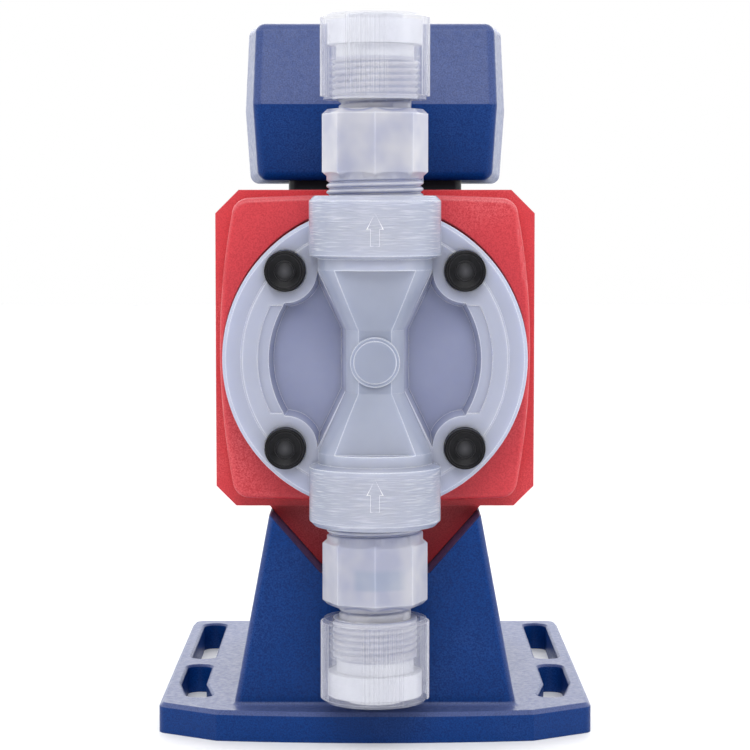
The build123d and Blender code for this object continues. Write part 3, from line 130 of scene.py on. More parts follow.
pump_middle = (0, 0, 0.12)
softbox("overhead_front", (0.0, -1.0, 0.85), pump_middle, 0.9, 0.6, 9.5)
softbox("left_strip", (-0.9, -0.35, 0.35), pump_middle, 0.25, 0.9, 1.4)
softbox("right_strip", (0.9, -0.35, 0.35), pump_middle, 0.25, 0.9, 1.8)
softbox("back_glow", (0.0, 0.8, 0.6), pump_middle, 1.0, 0.6, 3.0)

# %% [markdown]
# ## Finishes
# Every finish starts from the Principled shader and three habits. Noise is read at the piece's own
# place, so that grain keeps its size on a large and a small piece. Two tones, mixed by that noise,
# break up the colour. A softened edge catches light the way a moulded or deburred edge does, and fine
# relief is laid on top of it. Where the softened normal departs from the true one there is an edge, so
# the same comparison also serves as a mask for edges that are painted pale: a painted highlight.

# %% Helpers for finishes
plastic_ior = 1.49


def start_finish(name, roughness):
    finish = bpy.data.materials.new(name)
    finish.use_nodes = True
    tree = finish.node_tree
    shader = tree.nodes["Principled BSDF"]
    shader.inputs["Roughness"].default_value = roughness
    where = tree.nodes.new("ShaderNodeTexCoord").outputs["Object"]
    return finish, tree, shader, where


def noise_at(tree, where, scale, detail=3.0, stretch=(1, 1, 1)):
    mapping = tree.nodes.new("ShaderNodeMapping")
    mapping.inputs["Scale"].default_value = stretch
    tree.links.new(where, mapping.inputs["Vector"])
    noise = tree.nodes.new("ShaderNodeTexNoise")
    noise.inputs["Scale"].default_value = scale
    noise.inputs["Detail"].default_value = detail
    tree.links.new(mapping.outputs["Vector"], noise.inputs["Vector"])
    return noise.outputs[0]


def tones(tree, amount, stops):
    ramp = tree.nodes.new("ShaderNodeValToRGB")
    elements = ramp.color_ramp.elements
    while len(elements) < len(stops):
        elements.new(0.5)
    for element, (position, colour) in zip(elements, stops):
        element.position = position
        element.color = (*colour, 1)
    tree.links.new(amount, ramp.inputs["Fac"])
    return ramp.outputs["Color"]


def mixed(tree, amount, first, second):
    mix = tree.nodes.new("ShaderNodeMix")
    mix.data_type = "RGBA"
    for value, socket in ((amount, mix.inputs[0]), (first, mix.inputs[6]), (second, mix.inputs[7])):
        if isinstance(value, (tuple, float, int)):
            socket.default_value = (*value, 1) if isinstance(value, tuple) else value
        else:
            tree.links.new(value, socket)
    return mix.outputs[2]


def scaled(tree, value, start, end, low_value=0.0, high_value=1.0):
    ranged = tree.nodes.new("ShaderNodeMapRange")
    ranged.inputs["From Min"].default_value = start
    ranged.inputs["From Max"].default_value = end
    ranged.inputs["To Min"].default_value = low_value
    ranged.inputs["To Max"].default_value = high_value
    tree.links.new(value, ranged.inputs["Value"])
    return ranged.outputs["Result"]


def reckon(tree, operation, first, second=0.0):
    math_node = tree.nodes.new("ShaderNodeMath")
    math_node.operation = operation
    for value, socket in ((first, math_node.inputs[0]), (second, math_node.inputs[1])):
        if isinstance(value, (float, int)):
            socket.default_value = value
        else:
            tree.links.new(value, socket)
    return math_node.outputs[0]


def xyz(tree, where):
    split = tree.nodes.new("ShaderNodeSeparateXYZ")
    tree.links.new(where, split.inputs[0])
    return split.outputs


# An edge mask for painted highlights: colour is mixed towards pale along edges, where real edges catch
# light.
def painted_edge_highlight(tree, radius, amount):
    bevel = tree.nodes.new("ShaderNodeBevel")
    bevel.samples = 4
    bevel.inputs["Radius"].default_value = radius
    shape = tree.nodes.new("ShaderNodeNewGeometry")
    compare = tree.nodes.new("ShaderNodeVectorMath")
    compare.operation = "DOT_PRODUCT"
    tree.links.new(bevel.outputs["Normal"], compare.inputs[0])
    tree.links.new(shape.outputs["Normal"], compare.inputs[1])
    return scaled(tree, compare.outputs["Value"], 0.985, 0.88, 0.0, amount)


def relief(tree, shader, edge, layers):
    bevel = tree.nodes.new("ShaderNodeBevel")
    bevel.samples = 4
    bevel.inputs["Radius"].default_value = edge
    normal = bevel.outputs["Normal"]
    for height, depth, strength in layers:
        bump = tree.nodes.new("ShaderNodeBump")
        bump.inputs["Distance"].default_value = depth
        bump.inputs["Strength"].default_value = strength
        tree.links.new(height, bump.inputs["Height"])
        tree.links.new(normal, bump.inputs["Normal"])
        normal = bump.outputs["Normal"]
    tree.links.new(normal, shader.inputs["Normal"])


# %% [markdown]
# ### Moulded housings: blue and red
# The base, the drive housing and the control box are one blue moulding compound, the bracket is red.
# Such mouldings carry an eroded grain, like fine sand, that turns a highlight into glitter, and
# lighter patches where the mould's texture is worn. The grain is relief, the patches are colour. Faces
# that look up get a pale layer, spread through that grain and weighed by the upright part of the
# normal: a painted highlight from the light above. Edges are painted pale too, as painted highlights.

# %% Blue and red moulding compounds


def moulded(name, dark, body, worn_and_edge_highlight, film_and_top_sheen, dust_and_sheen, roughness, gloss, grain_depth):
    finish, tree, shader, where = start_finish(name, roughness)
    sand = noise_at(tree, where, 2600, 2.0)
    leather = noise_at(tree, where, 700, 3.0)
    patches = noise_at(tree, where, 30, 5.0)
    base = tones(tree, sand, [(0.35, dark), (0.62, body)])
    worn = reckon(tree, "MULTIPLY", scaled(tree, patches, 0.5, 0.8, 0, 0.6), scaled(tree, sand, 0.4, 0.7))
    facing = xyz(tree, tree.nodes.new("ShaderNodeNewGeometry").outputs["Normal"])
    # Faces that look up are mixed towards a pale colour: painted highlight from the light above.
    upward_highlight = scaled(tree, facing[2], 0.05, 0.3, 0.0, dust_and_sheen)
    top_highlight_mask = reckon(tree, "MULTIPLY", upward_highlight, scaled(tree, sand, 0.2, 0.7, 0.5, 1.0))
    worn_and_top_lit = mixed(tree, top_highlight_mask, mixed(tree, worn, base, worn_and_edge_highlight), film_and_top_sheen)
    # Edges painted pale: painted highlight.
    edge_highlighted = mixed(tree, painted_edge_highlight(tree, 0.35 * mm, 0.5), worn_and_top_lit, worn_and_edge_highlight)
    tree.links.new(edge_highlighted, shader.inputs["Base Color"])
    shader.inputs["Specular IOR Level"].default_value = gloss
    dull = scaled(tree, leather, 0.3, 0.7, roughness - 0.06, roughness + 0.1)
    tree.links.new(dull, shader.inputs["Roughness"])
    relief(tree, shader, 0.5 * mm, [(sand, 0.05 * mm, grain_depth), (leather, 0.08 * mm, grain_depth)])
    return finish


# The third colour is for worn patches and the painted edge highlight; the fourth colour and the number after
# it are the painted highlight on faces that look up.
blue_compound = moulded(
    "blue_compound",
    (0.001, 0.022, 0.125),
    (0.002, 0.040, 0.20),
    (0.035, 0.075, 0.24),
    (0.20, 0.22, 0.36),
    0.42,
    0.34,
    0.16,
    0.4,
)
red_compound = moulded(
    "red_compound",
    (0.50, 0.030, 0.042),
    (0.62, 0.046, 0.058),
    (0.80, 0.22, 0.23),
    (0.70, 0.25, 0.27),
    0.25,
    0.42,
    0.35,
    0.4,
)


def dress(finish, *names):
    for name in names:
        nodes[name].data.materials.clear()
        nodes[name].data.materials.append(finish)
    print(finish.name, "on", ", ".join(names))


dress(blue_compound, "base", "drive_housing", "drive_cover", "control_case_front", "control_case_rear")
dress(red_compound, "front_bracket", "stop_key")

# %% [markdown]
# ### Milky head
# The head is a thick, natural-coloured thermoplastic. Light enters it and scatters, so thick collars
# look pale and thin pockets over the dark chamber look lavender. The shader's subsurface does the
# scattering, and the colour also follows the depth behind the collars as painted light and shade:
# paler on the collars and the disc's rim, darker at the waist and in the pockets. The turned collars
# keep fine lines from the lathe, which run level and vary in strength; they are cut as relief and
# painted pale as painted highlights.

# %% Milky plastic of the pump head


def milky(name, stops, roughness):
    finish, tree, shader, where = start_finish(name, roughness)
    _, y, z = xyz(tree, where)
    # Colour by depth is painted light and shade: paler on the collars and the disc's rim, darker at the
    # waist and in the pockets.
    depth = scaled(tree, y, -95 * mm, -60 * mm)
    haze = noise_at(tree, where, 60, 3.0)
    tint = mixed(tree, scaled(tree, haze, 0.3, 0.8, 0.0, 0.2), tones(tree, depth, stops), (0.50, 0.53, 0.68))
    from_hub = reckon(tree, "ABSOLUTE", reckon(tree, "SUBTRACT", z, hub.z))
    on_collar = reckon(
        tree,
        "MULTIPLY",
        scaled(tree, from_hub, 29.5 * mm, 31.5 * mm),
        scaled(tree, y, -75 * mm, -79 * mm),
    )
    lathe = noise_at(tree, where, 1.0, 2.0, (150, 150, 3800))
    lines = reckon(tree, "MULTIPLY", lathe, on_collar)
    # The lathe lines are cut as relief and also painted pale: painted highlight along them.
    lathe_highlighted = mixed(tree, scaled(tree, lines, 0.5, 0.72, 0.0, 0.42), tint, (0.78, 0.79, 0.84))
    # Edges painted pale: painted highlight.
    edge_highlighted = mixed(tree, painted_edge_highlight(tree, 0.4 * mm, 0.75), lathe_highlighted, (0.86, 0.87, 0.92))
    tree.links.new(edge_highlighted, shader.inputs["Base Color"])
    pitted = noise_at(tree, where, 900, 2.0)
    relief(tree, shader, 0.5 * mm, [(lines, 0.35 * mm, 0.7), (pitted, 0.02 * mm, 0.3)])
    shader.inputs["Subsurface Weight"].default_value = 0.85
    shader.inputs["Subsurface Radius"].default_value = (0.8, 0.85, 1.0)
    shader.inputs["Subsurface Scale"].default_value = 6 * mm
    shader.inputs["IOR"].default_value = plastic_ior
    return finish


# These stops paint light and shade by depth.
head_plastic = milky(
    "milky_head",
    [
        (0.0, (0.42, 0.435, 0.51)),
        (0.35, (0.27, 0.30, 0.39)),
        (0.70, (0.45, 0.47, 0.56)),
        (1.0, (0.245, 0.27, 0.43)),
    ],
    0.24,
)

# %% [markdown]
# ### Valve bodies
# The valve bodies are the same natural plastic, but thinner and clearer: the seal round the ball seat
# shows through the lower one as a soft grey-blue band. The shader mixes scattering with rough
# transmission, and the band is laid in by its place, because so thick a wall blurs what lies behind it.
# The threads' roots hold shade, so the colour also deepens at the distances from the axis where they lie.

# %% Hazy plastic of the valve bodies
slim_root_r = 9.55 * mm
root_step = 1.8 * mm


def hazy(name, roughness):
    finish, tree, shader, where = start_finish(name, roughness)
    x, y, z = xyz(tree, where)
    haze = noise_at(tree, where, 85, 2.0)
    body = tones(tree, haze, [(0.35, (0.40, 0.415, 0.53)), (0.65, (0.56, 0.56, 0.61))])
    in_height = reckon(
        tree, "MULTIPLY", scaled(tree, z, 47.8 * mm, 48.6 * mm), scaled(tree, z, 54.6 * mm, 53.2 * mm)
    )
    in_width = reckon(
        tree, "MULTIPLY", scaled(tree, x, -6.6 * mm, -5.0 * mm), scaled(tree, x, 9.4 * mm, 6.6 * mm)
    )
    band = reckon(tree, "MULTIPLY", reckon(tree, "MULTIPLY", in_height, in_width), 0.42)
    banded = mixed(tree, band, body, (0.26, 0.33, 0.46))
    ahead = reckon(tree, "SUBTRACT", y, port.y)
    squares = reckon(tree, "ADD", reckon(tree, "MULTIPLY", x, x), reckon(tree, "MULTIPLY", ahead, ahead))
    radius = reckon(tree, "SQRT", squares)
    above_root = reckon(tree, "MODULO", reckon(tree, "SUBTRACT", radius, slim_root_r), root_step)
    on_neck = scaled(tree, radius, 14.0 * mm, 13.9 * mm)
    in_groove = reckon(tree, "MULTIPLY", scaled(tree, above_root, 0.7 * mm, 0.1 * mm), on_neck)
    banded = mixed(tree, reckon(tree, "MULTIPLY", in_groove, 0.8), banded, (0.22, 0.25, 0.42))
    # Edges painted pale: painted highlight.
    edge_highlighted = mixed(tree, painted_edge_highlight(tree, 0.3 * mm, 0.7), banded, (0.86, 0.87, 0.92))
    tree.links.new(edge_highlighted, shader.inputs["Base Color"])
    streaks = noise_at(tree, where, 1.0, 3.0, (60, 60, 900))
    relief(tree, shader, 0.5 * mm, [(streaks, 0.06 * mm, 0.35)])
    shader.inputs["Transmission Weight"].default_value = 0.12
    shader.inputs["Subsurface Weight"].default_value = 0.8
    shader.inputs["Subsurface Radius"].default_value = (0.8, 0.85, 1.0)
    shader.inputs["Subsurface Scale"].default_value = 4 * mm
    shader.inputs["IOR"].default_value = plastic_ior
    return finish


valve_plastic = hazy("hazy_valve_body", 0.28)
dress(valve_plastic, "discharge_valve_body", "suction_valve_body")
dress(head_plastic, "pump_head")

# %% [markdown]
# ### Clear plastic of the union nuts
# The nuts are clear, with the faint lavender tint of thick plastic, and a milky film from handling. Each
# of their walls lets most of what is behind it show straight through, which is what an alpha below one
# does, and the film is the rest. The window and the valve balls are truly glassy: they bend light.

# %% Clear plastics


def filmy(name, shade, light, roughness, cover):
    finish, tree, shader, where = start_finish(name, roughness)
    cloud = noise_at(tree, where, 120, 3.0)
    body = tones(tree, cloud, [(0.3, shade), (0.7, light)])
    # Edges painted pale: painted highlight.
    edge_highlighted = mixed(tree, painted_edge_highlight(tree, 0.2 * mm, 0.8), body, (0.95, 0.95, 0.97))
    tree.links.new(edge_highlighted, shader.inputs["Base Color"])
    drawn = noise_at(tree, where, 1.0, 1.0, (500, 500, 20))
    edges = painted_edge_highlight(tree, 0.2 * mm, 0.45)
    film_and_top_sheen = reckon(tree, "ADD", scaled(tree, cloud, 0.3, 0.7, cover - 0.05, cover + 0.05), edges)
    tree.links.new(film_and_top_sheen, shader.inputs["Alpha"])
    relief(tree, shader, 0.2 * mm, [(drawn, 0.03 * mm, 0.2)])
    shader.inputs["IOR"].default_value = plastic_ior
    return finish


def glassy(name, tint, roughness):
    finish, tree, shader, where = start_finish(name, roughness)
    cloud = noise_at(tree, where, 120, 3.0)
    tree.links.new(tones(tree, cloud, [(0.3, tint), (0.7, (0.97, 0.975, 1.0))]), shader.inputs["Base Color"])
    handled = scaled(tree, cloud, 0.3, 0.7, roughness - 0.03, roughness + 0.03)
    tree.links.new(handled, shader.inputs["Roughness"])
    shader.inputs["Transmission Weight"].default_value = 0.95
    shader.inputs["IOR"].default_value = plastic_ior
    return finish


nut_plastic = filmy("clear_nut", (0.60, 0.61, 0.72), (0.72, 0.73, 0.80), 0.16, 0.26)
window_plastic = glassy("display_window", (0.80, 0.88, 0.84), 0.06)
ball_glass = glassy("valve_ball", (0.90, 0.95, 0.95), 0.04)
dress(window_plastic, "display_window")
dress(ball_glass, "discharge_ball", "suction_ball")

# %% [markdown]
# ### Plain mouldings and rubber
# White, black and grey parts differ in tone, gloss and the size of their grain. One recipe serves them
# all: a slow cloud varies the colour, a fine grit varies the gloss and lifts the surface a little.

# %% Satin plastics and rubber


def satin(name, shade, light, roughness, grit_scale, grit_depth):
    finish, tree, shader, where = start_finish(name, roughness)
    cloud = noise_at(tree, where, 60, 4.0)
    grit = noise_at(tree, where, grit_scale, 2.0)
    tree.links.new(tones(tree, cloud, [(0.3, shade), (0.7, light)]), shader.inputs["Base Color"])
    dull = scaled(tree, grit, 0.3, 0.7, roughness - 0.06, roughness + 0.08)
    tree.links.new(dull, shader.inputs["Roughness"])
    shader.inputs["Specular IOR Level"].default_value = 0.35
    relief(tree, shader, 0.3 * mm, [(grit, grit_depth * mm, 0.5)])
    return finish


white_plastic = satin("white_fittings", (0.78, 0.79, 0.82), (0.88, 0.89, 0.91), 0.3, 800, 0.01)
black_plastic = satin("black_moulding", (0.004, 0.004, 0.006), (0.010, 0.010, 0.013), 0.42, 1200, 0.04)
knob_plastic = satin("knob_moulding", (0.012, 0.012, 0.014), (0.026, 0.026, 0.029), 0.5, 1500, 0.05)
grey_plastic = satin("grey_keys", (0.20, 0.22, 0.24), (0.27, 0.29, 0.31), 0.5, 1400, 0.03)
overlay_film = satin("panel_film", (0.30, 0.32, 0.35), (0.36, 0.38, 0.41), 0.55, 2200, 0.02)
board_lacquer = satin("board_lacquer", (0.012, 0.10, 0.035), (0.02, 0.16, 0.055), 0.3, 500, 0.02)
black_rubber = satin("black_rubber", (0.014, 0.014, 0.015), (0.035, 0.035, 0.037), 0.72, 700, 0.05)
pale_rubber = satin("pale_rubber", (0.55, 0.57, 0.66), (0.64, 0.66, 0.74), 0.6, 700, 0.04)
lamp_plastic = satin("lamp_lens", (0.05, 0.36, 0.08), (0.09, 0.55, 0.14), 0.16, 300, 0.01)
dress(white_plastic, "discharge_clamp_ring", "suction_clamp_ring", "discharge_nozzle", "suction_nozzle")
dress(white_plastic, "discharge_ball_guide", "suction_ball_guide", "bobbin")
dress(black_plastic, "neck_adapter", "cable_gland", "gland_nut", "signal_sockets", "socket_caps")
dress(knob_plastic, "stroke_knob")
dress(grey_plastic, "start_key", "up_key", "down_key", "display_module")
dress(overlay_film, "panel_overlay")
dress(board_lacquer, "circuit_board")
dress(pale_rubber, "discharge_gasket", "suction_gasket")
dress(black_rubber, "case_gasket", "cover_gasket", "diaphragm")
dress(black_rubber, "discharge_ball_seat", "suction_ball_seat")
dress(lamp_plastic, "status_lamps")

# %% [markdown]
# ### Metals
# Turned metal shows fine rings round its axis. Here every turned piece lies along the pump, so noise
# squeezed along Y draws those rings. The coil is a winding: a sine along the same axis stands for its
# wires, each 0.6 mm thick, in lacquered copper, and darkens the colour between them as painted shade.

# %% Turned metals and the winding


def turned_metal(name, shade, light, roughness, ring_depth):
    finish, tree, shader, where = start_finish(name, roughness)
    rings = noise_at(tree, where, 1.0, 3.0, (30, 2600, 30))
    stains = noise_at(tree, where, 90, 4.0)
    tree.links.new(tones(tree, stains, [(0.3, shade), (0.7, light)]), shader.inputs["Base Color"])
    brushed = scaled(tree, rings, 0.3, 0.7, roughness - 0.08, roughness + 0.1)
    tree.links.new(brushed, shader.inputs["Roughness"])
    shader.inputs["Metallic"].default_value = 1.0
    relief(tree, shader, 0.2 * mm, [(rings, ring_depth * mm, 0.5)])
    return finish


def winding(name, wire):
    finish, tree, shader, where = start_finish(name, 0.3)
    along = xyz(tree, where)[1]
    wires = reckon(tree, "SINE", reckon(tree, "MULTIPLY", along, TAU / wire))
    lacquer = noise_at(tree, where, 200, 3.0)
    copper = tones(tree, lacquer, [(0.3, (0.42, 0.13, 0.045)), (0.7, (0.62, 0.22, 0.08))])
    # Colour darkened between the wires: painted shade.
    shade_between_wires = scaled(tree, wires, -1, -0.6, 0.7, 0.0)
    tree.links.new(mixed(tree, shade_between_wires, copper, (0.10, 0.03, 0.01)), shader.inputs["Base Color"])
    shader.inputs["Metallic"].default_value = 0.85
    relief(tree, shader, 0.2 * mm, [(wires, 0.2 * mm, 0.8)])
    return finish


steel = turned_metal("stainless_steel", (0.50, 0.50, 0.51), (0.62, 0.62, 0.63), 0.28, 0.02)
soft_iron = turned_metal("plated_iron", (0.26, 0.26, 0.27), (0.38, 0.38, 0.39), 0.42, 0.03)
bronze = turned_metal("bearing_bronze", (0.42, 0.26, 0.10), (0.54, 0.34, 0.15), 0.34, 0.03)
spring_wire = turned_metal("spring_wire", (0.36, 0.36, 0.38), (0.48, 0.48, 0.50), 0.24, 0.01)
copper_winding = winding("copper_winding", 0.6 * mm)
dress(steel, "head_bolts", "head_washers", "bracket_screws", "cover_screws", "case_screws", "base_screws")
dress(steel, "stroke_spindle", "plunger_shaft", "diaphragm_insert")
dress(soft_iron, "armature", "solenoid_yoke", "yoke_ring")
dress(bronze, "shaft_bush")
dress(spring_wire, "return_spring")
dress(copper_winding, "coil")

# %% [markdown]
# ## Threads on the valve bodies
# A lathe cuts a thread by moving a pointed tool along the turning neck. The lesson does the same: a
# triangle is drawn from one vertex, the Screw modifier winds it into a helix, and a Boolean takes it
# out of a copy of the plain neck. The copy is merged first, because a CAD mesh is loose triangles.

# %% Helpers: a copy to cut, a helix to cut with
merge_reach = 0.002 * mm
helix_steps = 56
nearly_flat = math.radians(0.3)


def copy_to_cut(node, name):
    deselect()
    piece = bpy.data.objects.new(name, nodes[node].data.copy())
    bpy.context.scene.collection.objects.link(piece)
    bpy.context.view_layer.objects.active = piece
    piece.select_set(True)
    bpy.ops.object.mode_set(mode="EDIT")
    bpy.ops.mesh.select_all(action="SELECT")
    bpy.ops.mesh.remove_doubles(threshold=merge_reach)
    bpy.ops.object.mode_set(mode="OBJECT")
    return piece


def first_vertex(name, spot):
    deselect()
    bpy.ops.mesh.primitive_plane_add(size=mm, location=(0, 0, 0))
    piece = bpy.context.object
    piece.name = name
    bpy.ops.object.mode_set(mode="EDIT")
    bpy.ops.mesh.select_mode(type="VERT")
    bpy.ops.mesh.select_all(action="SELECT")
    bpy.ops.mesh.merge(type="CENTER")
    bpy.ops.transform.translate(value=spot)
    return piece


def helix_tool(name, root_r, outer_r, half_width, pitch, turns, spot):
    tool = first_vertex(name, (root_r, 0, 0))
    reach = outer_r - root_r
    for step in ((reach, 0, half_width), (0, 0, -2 * half_width), (-reach, 0, half_width)):
        bpy.ops.mesh.extrude_vertices_move(TRANSFORM_OT_translate={"value": step})
    bpy.ops.mesh.select_all(action="SELECT")
    bpy.ops.mesh.remove_doubles(threshold=0.001 * mm)
    bpy.ops.object.mode_set(mode="OBJECT")
    screw = tool.modifiers.new("helix", "SCREW")
    screw.axis = "Z"
    screw.angle = TAU
    screw.screw_offset = pitch
    screw.iterations = turns
    screw.steps = helix_steps
    screw.render_steps = helix_steps
    bpy.ops.object.modifier_apply(modifier="helix")
    bpy.ops.object.mode_set(mode="EDIT")
    bpy.ops.mesh.select_all(action="SELECT")
    bpy.ops.mesh.fill_holes(sides=4)
    bpy.ops.mesh.normals_make_consistent(inside=False)
    bpy.ops.transform.translate(value=spot)
    bpy.ops.object.mode_set(mode="OBJECT")
    return tool


def extent(mesh):
    corners = [[pick(v.co[i] for v in mesh.vertices) for i in range(3)] for pick in (min, max)]
    return Vector(corners[1]) - Vector(corners[0])


def carve(piece, tool):
    deselect()
    bpy.context.view_layer.objects.active = piece
    piece.select_set(True)
    whole = piece.data.copy()
    cut = piece.modifiers.new("cut", "BOOLEAN")
    cut.operation = "DIFFERENCE"
    cut.solver = "EXACT"
    cut.object = tool
    bpy.ops.object.modifier_apply(modifier="cut")
    bpy.data.objects.remove(tool)
    if len(piece.data.vertices) == 0 or (extent(piece.data) - extent(whole)).length > 0.5 * mm:
        piece.data = whole
        print("a cut failed and was left out on", piece.name)


def soften(piece, degrees=35):
    deselect()
    bpy.context.view_layer.objects.active = piece
    piece.select_set(True)
    bpy.ops.object.mode_set(mode="EDIT")
    bpy.ops.mesh.select_all(action="SELECT")
    bpy.ops.mesh.dissolve_limited(angle_limit=nearly_flat)
    bpy.ops.object.mode_set(mode="OBJECT")
    bpy.ops.object.shade_smooth_by_angle(angle=math.radians(degrees))
    even = piece.modifiers.new("even", "WEIGHTED_NORMAL")
    even.weight = 100
    even.keep_sharp = True
    bpy.ops.object.modifier_apply(modifier="even")


# %% [markdown]
# Each body has three threads. The one towards the head is larger and partly bare, between the collar and
# the octagon. The second carries the union nut and is seen through it. The third is a short run-out on
# the slimmer neck that shows between the octagon and the nut.

# %% Cut the threads
pitch = 1.8 * mm
head_thread_r = 13.9 * mm
nut_thread_r = 12.2 * mm
relief_r = 10.4 * mm
groove_depth = 0.85 * mm
groove_half_width = 0.88 * mm
past_crest = 0.3 * mm


def threaded_body(node, name, head_spot, nut_spot, relief_spot):
    piece = copy_to_cut(node, name)
    threads = ((head_thread_r, head_spot, 4), (nut_thread_r, nut_spot, 6), (relief_r, relief_spot, 1))
    for radius, spot, turns in threads:
        root_r, outer_r = radius - groove_depth, radius + past_crest
        foot = (0, port.y, spot)
        tool = helix_tool(name + "_tool", root_r, outer_r, groove_half_width, pitch, turns, foot)
        carve(piece, tool)
    soften(piece)
    piece.data.materials.clear()
    piece.data.materials.append(valve_plastic)
    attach(piece, "pump_body")
    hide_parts(node)
    print(name, "faces", len(piece.data.polygons))


threaded_body(
    "discharge_valve_body",
    "discharge_body_threaded",
    high("pump_head").z - 2.6 * mm,
    high("discharge_valve_body").z - 10.9 * mm,
    low("discharge_union_nut").z - 2.1 * mm,
)
threaded_body(
    "suction_valve_body",
    "suction_body_threaded",
    low("pump_head").z - 3.3 * mm,
    low("suction_valve_body").z + 0.4 * mm,
    high("suction_union_nut").z + 0.9 * mm,
)

# %% [markdown]
# ## Union nuts
# A union nut is a clear sleeve with a thread inside and four patches of grip ribs outside. CAD holds the
# sleeve and its ribs. What is missing is the inner thread and the chance angle at which each nut came
# to rest when it was done up, so a merged copy gets a helix cut into its bore and is turned a little.

# %% Thread the nuts and turn them to their angle
nut_thread_depth = 0.75 * mm
nut_groove_half_width = 0.8 * mm
nut_play = 0.35 * mm
nut_turns = 6


def turn_about_port(piece, degrees):
    deselect()
    bpy.context.view_layer.objects.active = piece
    piece.select_set(True)
    bpy.ops.object.mode_set(mode="EDIT")
    bpy.ops.mesh.select_all(action="SELECT")
    bpy.ops.transform.rotate(value=math.radians(-degrees), orient_axis="Z", center_override=(0, port.y, 0))
    bpy.ops.object.mode_set(mode="OBJECT")


def union_nut(node, name, body, degrees, thread_foot):
    piece = copy_to_cut(node, name)
    bore_r = nut_thread_r + nut_play
    root_r, inner_r = bore_r + nut_thread_depth, bore_r - 0.2 * mm
    foot = (0, port.y, thread_foot)
    tool = helix_tool(name + "_tap", root_r, inner_r, nut_groove_half_width, pitch, nut_turns, foot)
    carve(piece, tool)
    turn_about_port(piece, degrees)
    soften(piece, 30)
    piece.data.materials.clear()
    piece.data.materials.append(nut_plastic)
    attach(piece, body)
    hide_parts(node)
    print(name, "turned", degrees, "degrees, faces", len(piece.data.polygons))


upper_foot = low("discharge_union_nut").z + 1.2 * mm
lower_foot = low("suction_union_nut").z + 12.2 * mm
union_nut("discharge_union_nut", "discharge_nut_threaded", "discharge_nut", -9.7, upper_foot)
union_nut("suction_union_nut", "suction_nut_threaded", "suction_nut", 8.8, lower_foot)

# %% [markdown]
# ## Bolt caps
# Each head bolt hides under a turned black cap: a thin rim, a dished face with steps, and a small hub.
# Insets say this best. A cylinder gets a bevelled rim, and its front face is inset again and again, each
# time pushed in or out by some depth. The back is hollowed for the bolt's head. One cap is modelled and
# copied to the four bolts, and fine turning rings are left to the finish.

# %% Turn one cap and copy it to the four bolts
cap_r = 5.95 * mm
cap_rim = 0.25 * mm
cap_wall = 1.3 * mm
cap_hollow = 4.4 * mm
cap_steps = (
    (0.30, 0.0), (0.12, 0.45), (0.55, 0.0), (0.15, 0.20), (1.50, 0.25), (0.12, -0.28), (0.35, 0.0),
    (0.12, 0.28), (0.90, -0.12),
)


def pick_faces(piece, wanted):
    deselect()
    bpy.context.view_layer.objects.active = piece
    piece.select_set(True)
    bpy.ops.object.mode_set(mode="EDIT")
    bpy.ops.mesh.select_mode(type="FACE")
    bpy.ops.mesh.select_all(action="DESELECT")
    bpy.ops.object.mode_set(mode="OBJECT")
    chosen = [face for face in piece.data.polygons if wanted(face)]
    for face in chosen:
        face.select = True
    bpy.ops.object.mode_set(mode="EDIT")


def set_places(piece):
    deselect()
    bpy.context.view_layer.objects.active = piece
    piece.select_set(True)
    bpy.ops.object.transform_apply(location=True, rotation=True, scale=True)


def one_cap(x, z):
    front, back = low("bolt_caps").y, high("bolt_caps").y
    deselect()
    bpy.ops.mesh.primitive_cylinder_add(
        vertices=72, radius=cap_r, depth=back - front, location=(x, (front + back) / 2, z),
        rotation=(math.radians(90), 0, 0),
    )
    cap = bpy.context.object
    set_places(cap)
    pick_faces(cap, lambda face: face.normal.y < -0.9)
    bpy.ops.mesh.bevel(offset=cap_rim, segments=3, affect="EDGES")
    pick_faces(cap, lambda face: face.normal.y < -0.99 and len(face.vertices) > 8)
    for width, push in cap_steps:
        bpy.ops.mesh.inset(thickness=width * mm, depth=-push * mm)
    pick_faces(cap, lambda face: face.normal.y > 0.9)
    bpy.ops.mesh.inset(thickness=cap_wall, depth=0)
    bpy.ops.mesh.extrude_region_move(TRANSFORM_OT_translate={"value": (0, -cap_hollow, 0)})
    bpy.ops.object.mode_set(mode="OBJECT")
    return cap


bolt_x = high("bolt_caps").x - cap_r
bolt_z = high("bolt_caps").z - hub.z - cap_r
caps = one_cap(-bolt_x, hub.z - bolt_z)
caps.name = "bolt_caps_turned"
pick_faces(caps, lambda face: True)
bpy.ops.mesh.duplicate_move(TRANSFORM_OT_translate={"value": (2 * bolt_x, 0, 0)})
bpy.ops.mesh.select_all(action="SELECT")
bpy.ops.mesh.duplicate_move(TRANSFORM_OT_translate={"value": (0, 0, 2 * bolt_z)})
bpy.ops.object.mode_set(mode="OBJECT")
soften(caps, 30)
print("caps at x", round(bolt_x / mm, 2), "mm, faces", len(caps.data.polygons))

# %% [markdown]
# The caps stand in a square round the pump's axis, so folding the coordinates about that axis gives all
# four the same finish: rings round each hub, and a hub painted paler towards its middle, a painted
# reflection of its turned face.

# %% Finish of turned black caps
ring_spacing = 0.3 * mm


